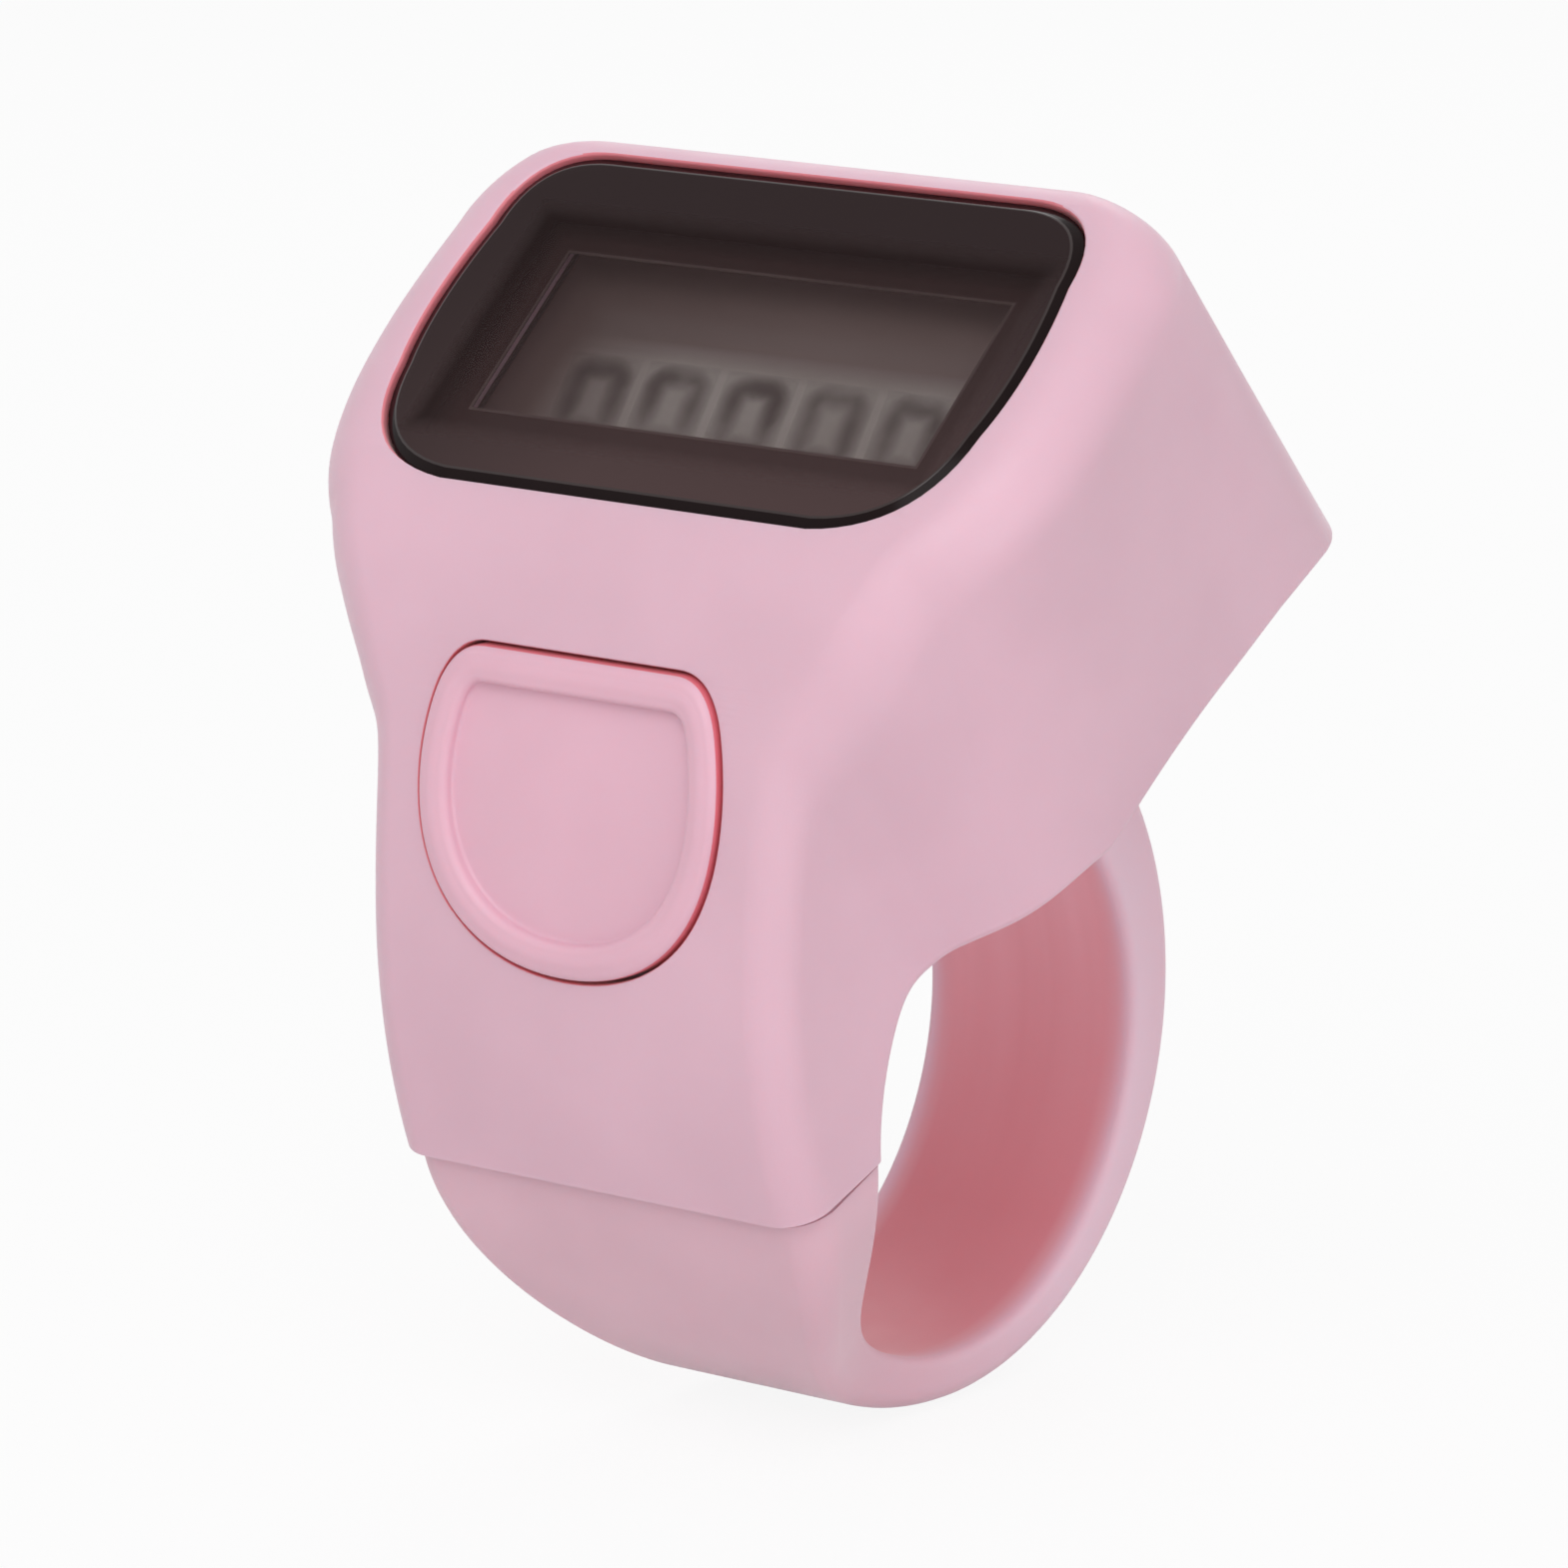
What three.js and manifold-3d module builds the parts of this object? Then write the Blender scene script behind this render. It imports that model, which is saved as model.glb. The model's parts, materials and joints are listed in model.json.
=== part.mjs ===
// Digital finger tally counter: a wide display head on a narrow skirt, worn on a finger by a tapered ring.
// Millimetres, +Z up, X along the finger, -Y towards the button. The origin is the centre of the finger hole.
import * as THREE from "three";
import { mergeVertices } from "three/addons/utils/BufferGeometryUtils.js";
import Module from "manifold-3d";

const wasm = await Module();
wasm.setup();

// Driving dimensions of the shell
const fingerHoleRadius = 9.9;
const rimTilt = THREE.MathUtils.degToRad(41.5);
const headHeight = 14.1;
const headBackDepth = 17.25;
const rimLength = 16.27;
const headHalfWidth = 15.2;
const footDraft = 1.85;
const skirtHalfWidth = 8.75;
const chinDepth = 5.8;
const frontCrownHeight = 6.5;
const lowerFrontRadius = 24;
const upperFrontRadius = 42;
const seamHeight = -2;
const wall = 1.3;
const rimWall = 2.5;
const coverThickness = 1.1;

// Clearances
const fitGap = 0.12;
const touchGap = 0.04;
const cutOverrun = 2;
const farReach = 40;

// Rounded edges of the shell
const rimFrontBlend = 2.2;
const backCornerRadius = 4.4;
const undersideCornerRadius = 1.6;
const backEdgeRadius = 1.5;
const skirtEdgeRadius = 1.45;
const headEdgeRadius = 2.55;
const innerEdgeRadius = 0.4;
const leastRadius = 0.15;

// Roof of the finger hole, where it leaves the round and runs out to the back
const seamInnerAngle = THREE.MathUtils.degToRad(182);
const roofAngle = THREE.MathUtils.degToRad(110);
const roofRise = THREE.MathUtils.degToRad(45);
const roofRun = 3.5;
const undersideRun = 4.2;

// Lens, let into the rim
const lensSideMargin = 3.1;
const lensFrontMargin = 1.07;
const lensBackMargin = 1.5;
const lensFrontCornerRadius = 4.2;
const lensBackCornerRadius = 3.2;
const lensEndNarrowing = 0.3;
const lensThickness = 1.2;
const lensSink = 0.1;
const lensBevel = 0.55;
const lensGap = 0.22;
const recessLip = 0.2;
const tapeThickness = 0.15;

// Openings under the lens: the clear view in the black tape, and the housing's window
const viewSideMargin = 2.75;
const viewFrontMargin = 3.5;
const viewBackMargin = 3.1;
const windowSideMargin = 1.8;
const windowFrontMargin = 2.4;
const windowBackMargin = 1.3;

// Display stack and its holder
const holderSideMargin = 0.9;
const holderFrontMargin = 1;
const holderBackMargin = 0.6;
const holderSideWall = 1;
const holderFrontWall = 0.9;
const holderBackWall = 0.6;
const glassThickness = 0.55;
const filmThickness = 0.16;
const contactLedge = 1.7;
const ledgeSide = 1.8;
const ledgeFront = 2.3;
const ledgeBack = 0.8;
const zebraWidth = 1.2;

// Main board and what it carries
const boardThickness = 0.8;
const boardInset = 0.2;
const blobRadius = 1.6;
const blobHeight = 0.9;
const chipLength = 1.6;
const chipWidth = 0.8;
const chipPitch = 1.8;

// Button cell and its contacts
const cellRadius = 3.95;
const cellHeight = 3.6;
const cellBackMargin = 3.45;
const cellSealMargin = 0.45;
const cellSealWidth = 0.35;
const cellSealDepth = 0.45;
const cellCapRise = 0.3;
const cellEdge = 0.3;
const contactThickness = 0.22;
const contactHalfWidth = 1.5;
const contactFoot = 1.3;
const springMargin = 0.65;
const wellWall = 0.7;
const wellGrip = 1;

// Button, square to the front face
const buttonBottom = 5.3;
const buttonTopMargin = 4.25;
const buttonHalfWidth = 6.3;
const buttonTopNarrowing = 0.3;
const buttonCornerRadius = 2;
const buttonGap = 0.16;
const buttonTravel = 0.5;
const buttonProud = 0.3;
const buttonEdge = 0.4;
const buttonRimWidth = 1.3;
const buttonPadDepth = 0.5;
const buttonPadDish = 2.4;
const buttonFlange = 0.5;
const buttonFlangeThickness = 0.55;
const buttonHollowDepth = 1;
const buttonRibRadius = 1.2;

// Switch behind the button, on its own board
const switchHalfSize = 2.3;
const switchBaseThickness = 1.2;
const switchPlateThickness = 0.15;
const plungerRadius = 0.85;
const plungerLength = 1.05;
const plungerWell = 0.9;
const switchBoardDepth = 4;
const switchBoardSideMargin = 2.35;
const switchBoardRise = 4.9;
const switchBoardRoofGap = 0.45;
const stakeRadius = 0.5;
const stakeShoulder = 1;
const stakeHead = 0.3;
const stakeSideMargin = 1.5;
const lowerStakeMargin = 1.2;
const upperStakeMargin = 0.55;
const ribbonThickness = 0.15;
const ribbonHalfWidth = 2.2;
const ribbonLap = 1.2;

// Ring band
const bandThickness = 2.65;
const bandCentreBack = -0.29;
const bandCentreHeight = 1.03;
const bandFlare = 1.18;
const bandSeamStep = 0.28;
const bandBackHalfWidth = 4.45;
const bandEdgeRadius = 0.7;
const bandInnerEdgeRadius = 0.35;
const bandTaperSpan = THREE.MathUtils.degToRad(66);
const bandFlareSpan = THREE.MathUtils.degToRad(83);
const bandFlarePower = 1.5;
const seamLean = THREE.MathUtils.degToRad(6);
const bandEndAngle = THREE.MathUtils.degToRad(106);
const tongueSideMargin = 3.15;
const tongueThickness = 1.6;
const tongueRise = 4.3;
const tongueRoot = 0.6;
const pinRadius = 0.4;
const pinRise = 2.9;
const lugRise = 1.6;
const lugHeight = 2.6;
const lugDepth = 2.4;
const footStem = 1.4;
const footHead = 2.5;
const footHeadThickness = 0.75;
const footAcross = 2.9;
const footRoot = 1.2;

// Fasteners
const screwShankRadius = 0.6;
const screwHeadRadius = 1.3;
const screwHeadThickness = 0.7;
const screwRecess = 0.25;
const screwSideGap = 0.3;
const screwSlope = 2.8;
const screwTipWall = 1.4;
const bossRadius = 1.8;
const bossHeadroom = 0.85;
const bossWeb = 1.2;
const boardScrewInset = 1.4;
const boardScrewSetback = 1.6;
const clampPostRadius = 1.1;
const clampPostInset = 1.7;
const clampPostSetback = 1.9;
const tabHalfWidth = 3;
const tabThickness = 0.8;
const tabReach = 0.7;

// How finely curves are drawn
const roundSides = 16;
const wellSides = 28;
const screwSides = 12;
const outlineSteps = 8;
const roofSteps = 30;
const ribbonSteps = 5;
const bandSteps = 44;
const stationCount = 36;
const cornerStations = 7;
const outerCornerSteps = 5;
const innerCornerSteps = 2;
const weldDistance = 1e-5;

// Shares that shape the curves
const cornerPullShare = 0.09;
const shieldShoulderShare = 0.59;
const shieldRunShare = 0.6;
const shieldRiseShare = 0.36;
const edgeDropShare = 0.3;
const blobShoulderShare = 0.75;
const footShare = 0.6;
const screwSideShare = 0.5;
const chipPlaceShare = 0.25;
const bandRoofShare = 0.4;

// How the height left over by board, cell and contact is split between holder, spring and pad
const holderShare = 0.566;
const springShare = 0.157;
const padShare = 0.22;

// Shell stations: way along the outer line (1 at the rim's corner), along the inner line, and widening
const stationShares = [
  [0, 0, 0],
  [0.37, 0.12, 0],
  [0.66, 0.22, 0.01],
  [0.73, 0.265, 0.135],
  [0.8, 0.295, 0.26],
  [0.95, 0.335, 0.56],
  [1.28, 0.42, 0.91],
  [1.65, 0.68, 1],
  [2, 1, 0.94],
];

// The shell's main lines, from the finger hole outwards
const rimHeight = fingerHoleRadius + headHeight;
const undersideBackHeight = rimHeight - headBackDepth;
const footHalfWidth = headHalfWidth - footDraft;
const frontReach = fingerHoleRadius + chinDepth;
const cosTilt = Math.cos(rimTilt);
const sinTilt = Math.sin(rimTilt);
const rimFront = rimFrontCorner(0, 0);
const rimBack = rimFront + rimLength;

// Frame of the head: x across, y up the slope of the rim, z square to the rim
const headMatrix = new THREE.Matrix4().makeRotationX(rimTilt);

function headPoint(slope, height) {
  return new THREE.Vector2(slope * cosTilt - height * sinTilt, slope * sinTilt + height * cosTilt);
}

// Closed skins, joins and cuts
function skin(rings) {
  const count = rings[0].length;
  const positions = [];
  const index = [];
  rings.forEach((ring) => ring.forEach((point) => positions.push(point.x, point.y, point.z)));
  for (let ring = 0; ring + 1 < rings.length; ring++) {
    for (let i = 0; i < count; i++) {
      const a = ring * count + i;
      const b = ring * count + ((i + 1) % count);
      index.push(a, b, a + count, b, b + count, a + count);
    }
  }
  [0, rings.length - 1].forEach((ring, end) => {
    const centre = new THREE.Vector3();
    rings[ring].forEach((point) => centre.addScaledVector(point, 1 / count));
    positions.push(centre.x, centre.y, centre.z);
    const hub = positions.length / 3 - 1;
    for (let i = 0; i < count; i++) {
      const a = ring * count + i;
      const b = ring * count + ((i + 1) % count);
      if (end === 0) index.push(b, a, hub);
      else index.push(a, b, hub);
    }
  });
  return outward(new THREE.BufferGeometry()
    .setAttribute("position", new THREE.Float32BufferAttribute(positions, 3))
    .setIndex(index));
}

function outward(geometry) {
  const position = geometry.getAttribute("position");
  const index = geometry.index.array;
  const [a, b, c] = [new THREE.Vector3(), new THREE.Vector3(), new THREE.Vector3()];
  let volume = 0;
  for (let i = 0; i < index.length; i += 3) {
    a.fromBufferAttribute(position, index[i]);
    b.fromBufferAttribute(position, index[i + 1]);
    c.fromBufferAttribute(position, index[i + 2]);
    volume += a.dot(b.cross(c));
  }
  if (volume < 0) {
    const flipped = Array.from(index);
    for (let i = 0; i < flipped.length; i += 3) {
      [flipped[i + 1], flipped[i + 2]] = [flipped[i + 2], flipped[i + 1]];
    }
    geometry.setIndex(flipped);
  }
  return geometry;
}

function solid(geometry) {
  const bare = geometry.clone();
  bare.deleteAttribute("normal");
  bare.deleteAttribute("uv");
  const merged = mergeVertices(bare, weldDistance);
  return new wasm.Manifold(new wasm.Mesh({
    numProp: 3,
    vertProperties: Float32Array.from(merged.attributes.position.array),
    triVerts: Uint32Array.from(merged.index.array),
  }));
}

function geometryOf(body) {
  const mesh = body.getMesh();
  return new THREE.BufferGeometry()
    .setAttribute("position", new THREE.BufferAttribute(mesh.vertProperties, 3))
    .setIndex(new THREE.BufferAttribute(mesh.triVerts, 1));
}

function joined(...geometries) {
  return geometries.map(solid).reduce((whole, next) => whole.add(next));
}

function cut(body, ...geometries) {
  return geometries.map(solid).reduce((whole, next) => whole.subtract(next), body);
}

function box(x0, x1, y0, y1, z0, z1) {
  return new THREE.BoxGeometry(x1 - x0, y1 - y0, z1 - z0)
    .translate((x0 + x1) / 2, (y0 + y1) / 2, (z0 + z1) / 2);
}

// A prism across X of a side outline given in (Y, Z)
function acrossX(points, halfWidth) {
  return new THREE.ExtrudeGeometry(new THREE.Shape(points), { depth: 2 * halfWidth, bevelEnabled: false })
    .applyMatrix4(new THREE.Matrix4().makeBasis(
      new THREE.Vector3(0, 1, 0),
      new THREE.Vector3(0, 0, 1),
      new THREE.Vector3(1, 0, 0),
    ))
    .translate(-halfWidth, 0, 0);
}

// Side outline of the shell: the front and rim line, and the hole and underside line
function frontDepth(height) {
  const radius = height < frontCrownHeight ? lowerFrontRadius : upperFrontRadius;
  return -frontReach + radius - Math.sqrt(radius ** 2 - (height - frontCrownHeight) ** 2);
}

// Slope of the corner where the front face meets the rim
function rimFrontCorner(inset, rimInset) {
  const reach = frontReach - inset;
  const radius = upperFrontRadius - inset;
  const centre = new THREE.Vector2(-reach + radius, frontCrownHeight);
  const along = new THREE.Vector2(cosTilt, sinTilt);
  const start = headPoint(0, rimHeight - rimInset).sub(centre);
  const half = start.dot(along);
  return -half - Math.sqrt(half ** 2 - start.lengthSq() + radius ** 2);
}

function outerLine(inset, rimInset) {
  const reach = frontReach - inset;
  const upper = upperFrontRadius - inset;
  const lower = lowerFrontRadius - inset;
  const cornerSlope = rimFrontCorner(inset, rimInset);
  const corner = headPoint(cornerSlope, rimHeight - rimInset);
  const blend = Math.max(rimFrontBlend - inset, leastRadius);
  const cornerAngle = Math.PI - Math.asin((corner.y - frontCrownHeight) / upper);
  const rimEnd = headPoint(rimBack - backCornerRadius, rimHeight - rimInset);
  const path = new THREE.Path();
  path.absarc(-reach + lower, frontCrownHeight, lower,
    Math.PI + Math.asin((frontCrownHeight - seamHeight) / lower), Math.PI, true);
  path.absarc(-reach + upper, frontCrownHeight, upper, Math.PI, cornerAngle + blend / upper, true);
  const rimStart = headPoint(cornerSlope + blend, rimHeight - rimInset);
  path.quadraticCurveTo(corner.x, corner.y, rimStart.x, rimStart.y);
  path.lineTo(rimEnd.x, rimEnd.y);
  return path;
}

// The corner where the hole's roof turns into the underside, and the underside's back end
const roofLeave = new THREE.Vector2(Math.cos(roofAngle), Math.sin(roofAngle)).multiplyScalar(fingerHoleRadius);
const roofCorner = roofLeave.clone().add(new THREE.Vector2(Math.cos(roofRise), Math.sin(roofRise))
  .multiplyScalar(roofRun));
const undersideEnd = headPoint(rimBack, undersideBackHeight);

function innerLine(lift) {
  const radius = fingerHoleRadius + lift;
  const path = new THREE.Path();
  path.absarc(0, 0, radius, seamInnerAngle, roofAngle, true);
  const underside = undersideEnd.clone().sub(roofCorner).normalize();
  const normal = new THREE.Vector2(-underside.y, underside.x).multiplyScalar(lift);
  const straight = roofCorner.clone().addScaledVector(underside, undersideRun);
  const end = undersideEnd.clone().addScaledVector(underside,
    -backCornerRadius / (underside.x * cosTilt + underside.y * sinTilt));
  path.quadraticCurveTo(roofCorner.x + normal.x, roofCorner.y + normal.y, straight.x + normal.x,
    straight.y + normal.y);
  path.lineTo(end.x + normal.x, end.y + normal.y);
  return path;
}

// Smooth rise through a column of the table, with no overshoot
function tableShare(column, t) {
  const last = stationShares.length - 1;
  const at = Math.min(Math.floor(t * last), last - 1);
  const value = (i) => stationShares[i][column];
  const slope = (i) => {
    if (i === 0) return value(1) - value(0);
    if (i === last) return value(last) - value(last - 1);
    const before = value(i) - value(i - 1);
    const after = value(i + 1) - value(i);
    return before * after <= 0 ? 0 : 2 * before * after / (before + after);
  };
  const f = t * last - at;
  const [arrive, leave, rise] = [slope(at), slope(at + 1), value(at + 1) - value(at)];
  const bend = 3 * rise - 2 * arrive - leave;
  const twist = arrive + leave - 2 * rise;
  return value(at) + arrive * f + bend * f ** 2 + twist * f ** 3;
}

// One section: a rounded rectangle that hangs from its outer point down to its inner point
function sectionRing(outer, inner, outerHalf, innerHalf, outerRadius, outerDepth, innerRadius) {
  const length = outer.distanceTo(inner);
  const down = inner.clone().sub(outer).divideScalar(length);
  const ring = [];
  const halfAt = (depth) => outerHalf + (innerHalf - outerHalf) * depth / length;
  [1, -1].forEach((side) => {
    for (let i = 0; i <= outerCornerSteps; i++) {
      const angle = Math.PI / 2 * (side > 0 ? i : outerCornerSteps - i) / outerCornerSteps;
      const depth = outerDepth * (1 - Math.cos(angle));
      ring.push([side, halfAt(depth) - outerRadius * (1 - Math.sin(angle)), depth, side > 0 ? 0 : 3]);
    }
    for (let i = 0; i <= innerCornerSteps; i++) {
      const angle = Math.PI / 2 * (side > 0 ? i : innerCornerSteps - i) / innerCornerSteps;
      const depth = length - innerRadius * (1 - Math.sin(angle));
      ring.push([side, halfAt(depth) - innerRadius * (1 - Math.cos(angle)), depth, side > 0 ? 1 : 2]);
    }
  });
  const corners = ring.sort((a, b) => a[3] - b[3]);
  const points = [];
  corners.forEach(([side, half, depth]) => {
    points.push(new THREE.Vector3(side * half, outer.x + down.x * depth, outer.y + down.y * depth));
  });
  return points;
}

// The shell's outside, or its cavity when it is inset
function shellBody({ inset = 0, rimInset = inset, lift = 0 }) {
  const outer = outerLine(inset, rimInset);
  const inner = innerLine(lift);
  const rings = [];
  const edge = (t) => {
    const radius = skirtEdgeRadius + (headEdgeRadius - skirtEdgeRadius) * tableShare(2, t);
    return Math.max(radius - inset, leastRadius);
  };
  const halves = (t) => {
    const share = tableShare(2, t);
    return [
      skirtHalfWidth + (headHalfWidth - skirtHalfWidth) * share - inset,
      skirtHalfWidth + (footHalfWidth - skirtHalfWidth) * share - inset,
    ];
  };
  const [frontLength, blendLength, fullLength] = outer.getCurveLengths().slice(-3);
  const cornerShare = (frontLength + blendLength) / 2 / fullLength;
  for (let i = 0; i < stationCount; i++) {
    const t = i / (stationCount - 1);
    const past = tableShare(0, t);
    const outerShare = Math.min(past, 1) * cornerShare + Math.max(past - 1, 0) * (1 - cornerShare);
    const outerPoint = outer.getPointAt(outerShare);
    const innerPoint = inner.getPointAt(tableShare(1, t));
    const down = innerPoint.clone().sub(outerPoint).normalize();
    const crossing = Math.abs(outer.getTangentAt(outerShare).cross(down));
    const [outerHalf, innerHalf] = halves(t);
    rings.push(sectionRing(outerPoint, innerPoint, outerHalf, innerHalf, edge(t), edge(t) / crossing,
      Math.max(innerEdgeRadius - inset, leastRadius)));
  }
  const [outerHalf, innerHalf] = halves(1);
  const undersideStart = inner.getPointAt(1);
  const underside = inner.getTangentAt(1);
  const startSlope = undersideStart.x * cosTilt + undersideStart.y * sinTilt;
  const slopeRate = underside.x * cosTilt + underside.y * sinTilt;
  for (let i = 1; i <= cornerStations; i++) {
    const reach = (backCornerRadius - inset) * (1 - Math.sin(Math.PI / 2 * i / cornerStations));
    const slope = rimBack - inset - reach;
    const dip = cornerDrop(reach, backEdgeRadius - inset);
    const outerPoint = headPoint(slope, rimHeight - rimInset - dip);
    const innerPoint = undersideStart.clone().addScaledVector(underside, (slope - startSlope) / slopeRate);
    rings.push(sectionRing(outerPoint, innerPoint, outerHalf - cornerDrop(reach, backCornerRadius - inset),
      innerHalf - cornerDrop(reach, undersideCornerRadius - inset), edge(1), edge(1),
      Math.max(innerEdgeRadius - inset, leastRadius)));
  }
  return rings;
}

// How far a rounded corner has drawn in at a distance from the face it meets
function cornerDrop(reach, radius) {
  const round = Math.max(radius, leastRadius);
  return reach < round ? round - Math.sqrt(round ** 2 - (round - reach) ** 2) : 0;
}

// The first section pushed out past the seam, so that a cut opens it
function extended(rings) {
  const pushed = rings[0].map((point, i) => {
    const step = point.clone().sub(rings[1][i]).setLength(cutOverrun);
    return point.clone().add(step);
  });
  return [pushed, ...rings];
}

// The lens and what lies behind it, across the rim and up its slope
const lensHalfWidth = headHalfWidth - lensSideMargin;
const lensFront = rimFront + lensFrontMargin;
const lensBack = rimBack - lensBackMargin;
const holderHalfWidth = lensHalfWidth - holderSideMargin;
const holderFront = lensFront + holderFrontMargin;
const holderBack = lensBack - holderBackMargin;
const displayHalfWidth = holderHalfWidth - holderSideWall;
const displayFront = holderFront + holderFrontWall;
const displayBack = holderBack - holderBackWall;
const zebraFront = displayFront + (contactLedge - zebraWidth) / 2;
const boardHalfWidth = holderHalfWidth - boardInset;
const boardFront = holderFront - boardInset;
const boardScrewSpread = holderHalfWidth - boardScrewInset;
const boardScrewSlope = holderFront + boardScrewSetback;
const clampPostSpread = boardHalfWidth - clampPostInset;
const clampPostSlope = holderBack - clampPostSetback;
const cellCentre = rimBack - cellBackMargin - cellRadius;
const cellSealRadius = cellRadius - cellSealMargin;
const wellRadius = cellRadius + fitGap + wellWall;
const chipStart = wellRadius + (boardHalfWidth - wellRadius) * chipPlaceShare;

// Heights of the stack under the rim, square to the rim plane
const lensTop = rimHeight - lensSink;
const lensBottom = lensTop - lensThickness;
const recessFloor = lensBottom - tapeThickness - 2 * touchGap;
const cavityTop = rimHeight - rimWall;
const holderTop = cavityTop - fitGap;
const stackRoom = holderTop - undersideAt(cellCentre - cellRadius) - coverThickness - boardThickness
  - cellHeight - contactThickness - 3 * touchGap;
const holderBottom = holderTop - stackRoom * holderShare;
const boardTop = holderBottom - touchGap;
const boardBottom = boardTop - boardThickness;
const cellTop = boardBottom - stackRoom * springShare;
const cellBottom = cellTop - cellHeight;
const clipBottom = cellBottom - touchGap - contactThickness;
const padTop = clipBottom - touchGap;
const padBottom = padTop - stackRoom * padShare;
const wellTop = cellBottom + wellGrip;
const filmTop = holderTop - touchGap;
const frontGlassTop = filmTop - filmThickness - touchGap;
const rearGlassTop = frontGlassTop - glassThickness - touchGap;
const reflectorTop = rearGlassTop - glassThickness - touchGap;
const displayLedge = reflectorTop - filmThickness - touchGap;

// Height of the underside at a place on the slope
function undersideAt(slope) {
  const start = new THREE.Vector2(roofCorner.x * cosTilt + roofCorner.y * sinTilt,
    roofCorner.y * cosTilt - roofCorner.x * sinTilt);
  return start.y + (undersideBackHeight - start.y) * Math.max(slope - start.x, 0) / (rimBack - start.x);
}

// The button and the switch behind it, up the front face
const buttonTop = headPoint(rimFront, rimHeight).y - buttonTopMargin;
const buttonShoulderHeight = buttonBottom + (buttonTop - buttonBottom) * shieldShoulderShare;
const buttonTopHalfWidth = buttonHalfWidth - buttonTopNarrowing;
const switchHeightAbove = (buttonBottom + buttonTop) / 2;
const switchBoardFace = frontReach - switchBoardDepth;
const switchBoardBack = switchBoardFace - boardThickness;
const switchBoardHalfWidth = skirtHalfWidth - switchBoardSideMargin;
const switchBoardBottom = seamHeight + switchBoardRise;
const switchBoardTop = (cavityTop - switchBoardFace * sinTilt) / cosTilt - switchBoardRoofGap;
const switchFace = -switchBoardFace - touchGap - switchBaseThickness;
const switchPlateFace = switchFace - switchPlateThickness;
const plungerTip = switchPlateFace - buttonTravel - fitGap;
const stakeSpread = switchBoardHalfWidth - stakeSideMargin;
const lowerStakeHeight = switchBoardBottom + lowerStakeMargin;
const upperStakeHeight = switchBoardTop - upperStakeMargin;
const stakePlaces = [[-stakeSpread, lowerStakeHeight], [stakeSpread, lowerStakeHeight], [0, upperStakeHeight]];

// The band's tongue and pin at the seam, and the screws that hold the cover
const bandSeamHalfWidth = skirtHalfWidth - bandSeamStep;
const tongueHalfWidth = skirtHalfWidth - tongueSideMargin;
const tongueBack = -(fingerHoleRadius + coverThickness + fitGap);
const pinDepth = tongueBack - tongueThickness / 2;
const pinHeight = seamHeight + pinRise;
const pinHalfLength = skirtHalfWidth - wall - fitGap;
const lugBottom = seamHeight + lugRise;
const screwSpread = skirtHalfWidth + (footHalfWidth - skirtHalfWidth) * screwSideShare - wall - screwHeadRadius
  - screwSideGap;
const screwSeat = Math.sqrt(fingerHoleRadius ** 2 - screwSlope ** 2) + screwRecess + screwHeadThickness;
const bossBottom = screwSeat + coverThickness + fitGap;
const bossTop = boardBottom - bossHeadroom;
const screwLength = bossTop - screwSeat - screwTipWall;
const tabBottom = undersideBackHeight + 2 * coverThickness;

// Fills between the roof of the finger hole and a line far above it, from a share along the hole onwards
function aboveRoof(lift, fromShare) {
  const line = innerLine(lift);
  const points = [];
  for (let i = 0; i <= roofSteps; i++) {
    points.push(line.getPointAt(fromShare + (1 - fromShare) * i / roofSteps));
  }
  const last = points[points.length - 1];
  points.push(last.clone().add(new THREE.Vector2(cosTilt, sinTilt).multiplyScalar(farReach)));
  points.push(new THREE.Vector2(-farReach, farReach));
  return acrossX(points, farReach);
}

function roofStrip(lower, upper) {
  const inner = innerLine(lower).getSpacedPoints(roofSteps);
  const outer = innerLine(upper).getSpacedPoints(roofSteps);
  const run = inner[inner.length - 1].clone().sub(inner[inner.length - 2]).setLength(backCornerRadius);
  inner.push(inner[inner.length - 1].clone().add(run));
  outer.push(outer[outer.length - 1].clone().add(run));
  return acrossX([...inner, ...outer.reverse()], farReach);
}

// Outlines in the plane of the rim
function lensOutline(inset) {
  const half = lensHalfWidth - inset;
  const end = half - lensEndNarrowing;
  const front = lensFront + inset;
  const back = lensBack - inset;
  const frontRadius = Math.max(lensFrontCornerRadius - inset, leastRadius);
  const backRadius = Math.max(lensBackCornerRadius - inset, leastRadius);
  const middle = (front + back) / 2;
  const shape = new THREE.Shape();
  shape.moveTo(end - frontRadius, front);
  shape.quadraticCurveTo(end - frontRadius * cornerPullShare, front + frontRadius * cornerPullShare,
    end, front + frontRadius);
  shape.quadraticCurveTo(half + lensEndNarrowing, middle, end, back - backRadius);
  shape.quadraticCurveTo(end, back, end - backRadius, back);
  shape.lineTo(backRadius - end, back);
  shape.quadraticCurveTo(-end, back, -end, back - backRadius);
  shape.quadraticCurveTo(-half - lensEndNarrowing, middle, -end, front + frontRadius);
  shape.quadraticCurveTo(frontRadius * cornerPullShare - end, front + frontRadius * cornerPullShare,
    frontRadius - end, front);
  shape.closePath();
  return shape.getPoints(outlineSteps).slice(0, -1);
}

// A plate in the head's frame, from levels of height and inset
function plate(outline, levels) {
  return skin(levels.map(([height, inset]) =>
    outline(inset).map((point) => new THREE.Vector3(point.x, point.y, height))));
}

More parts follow.
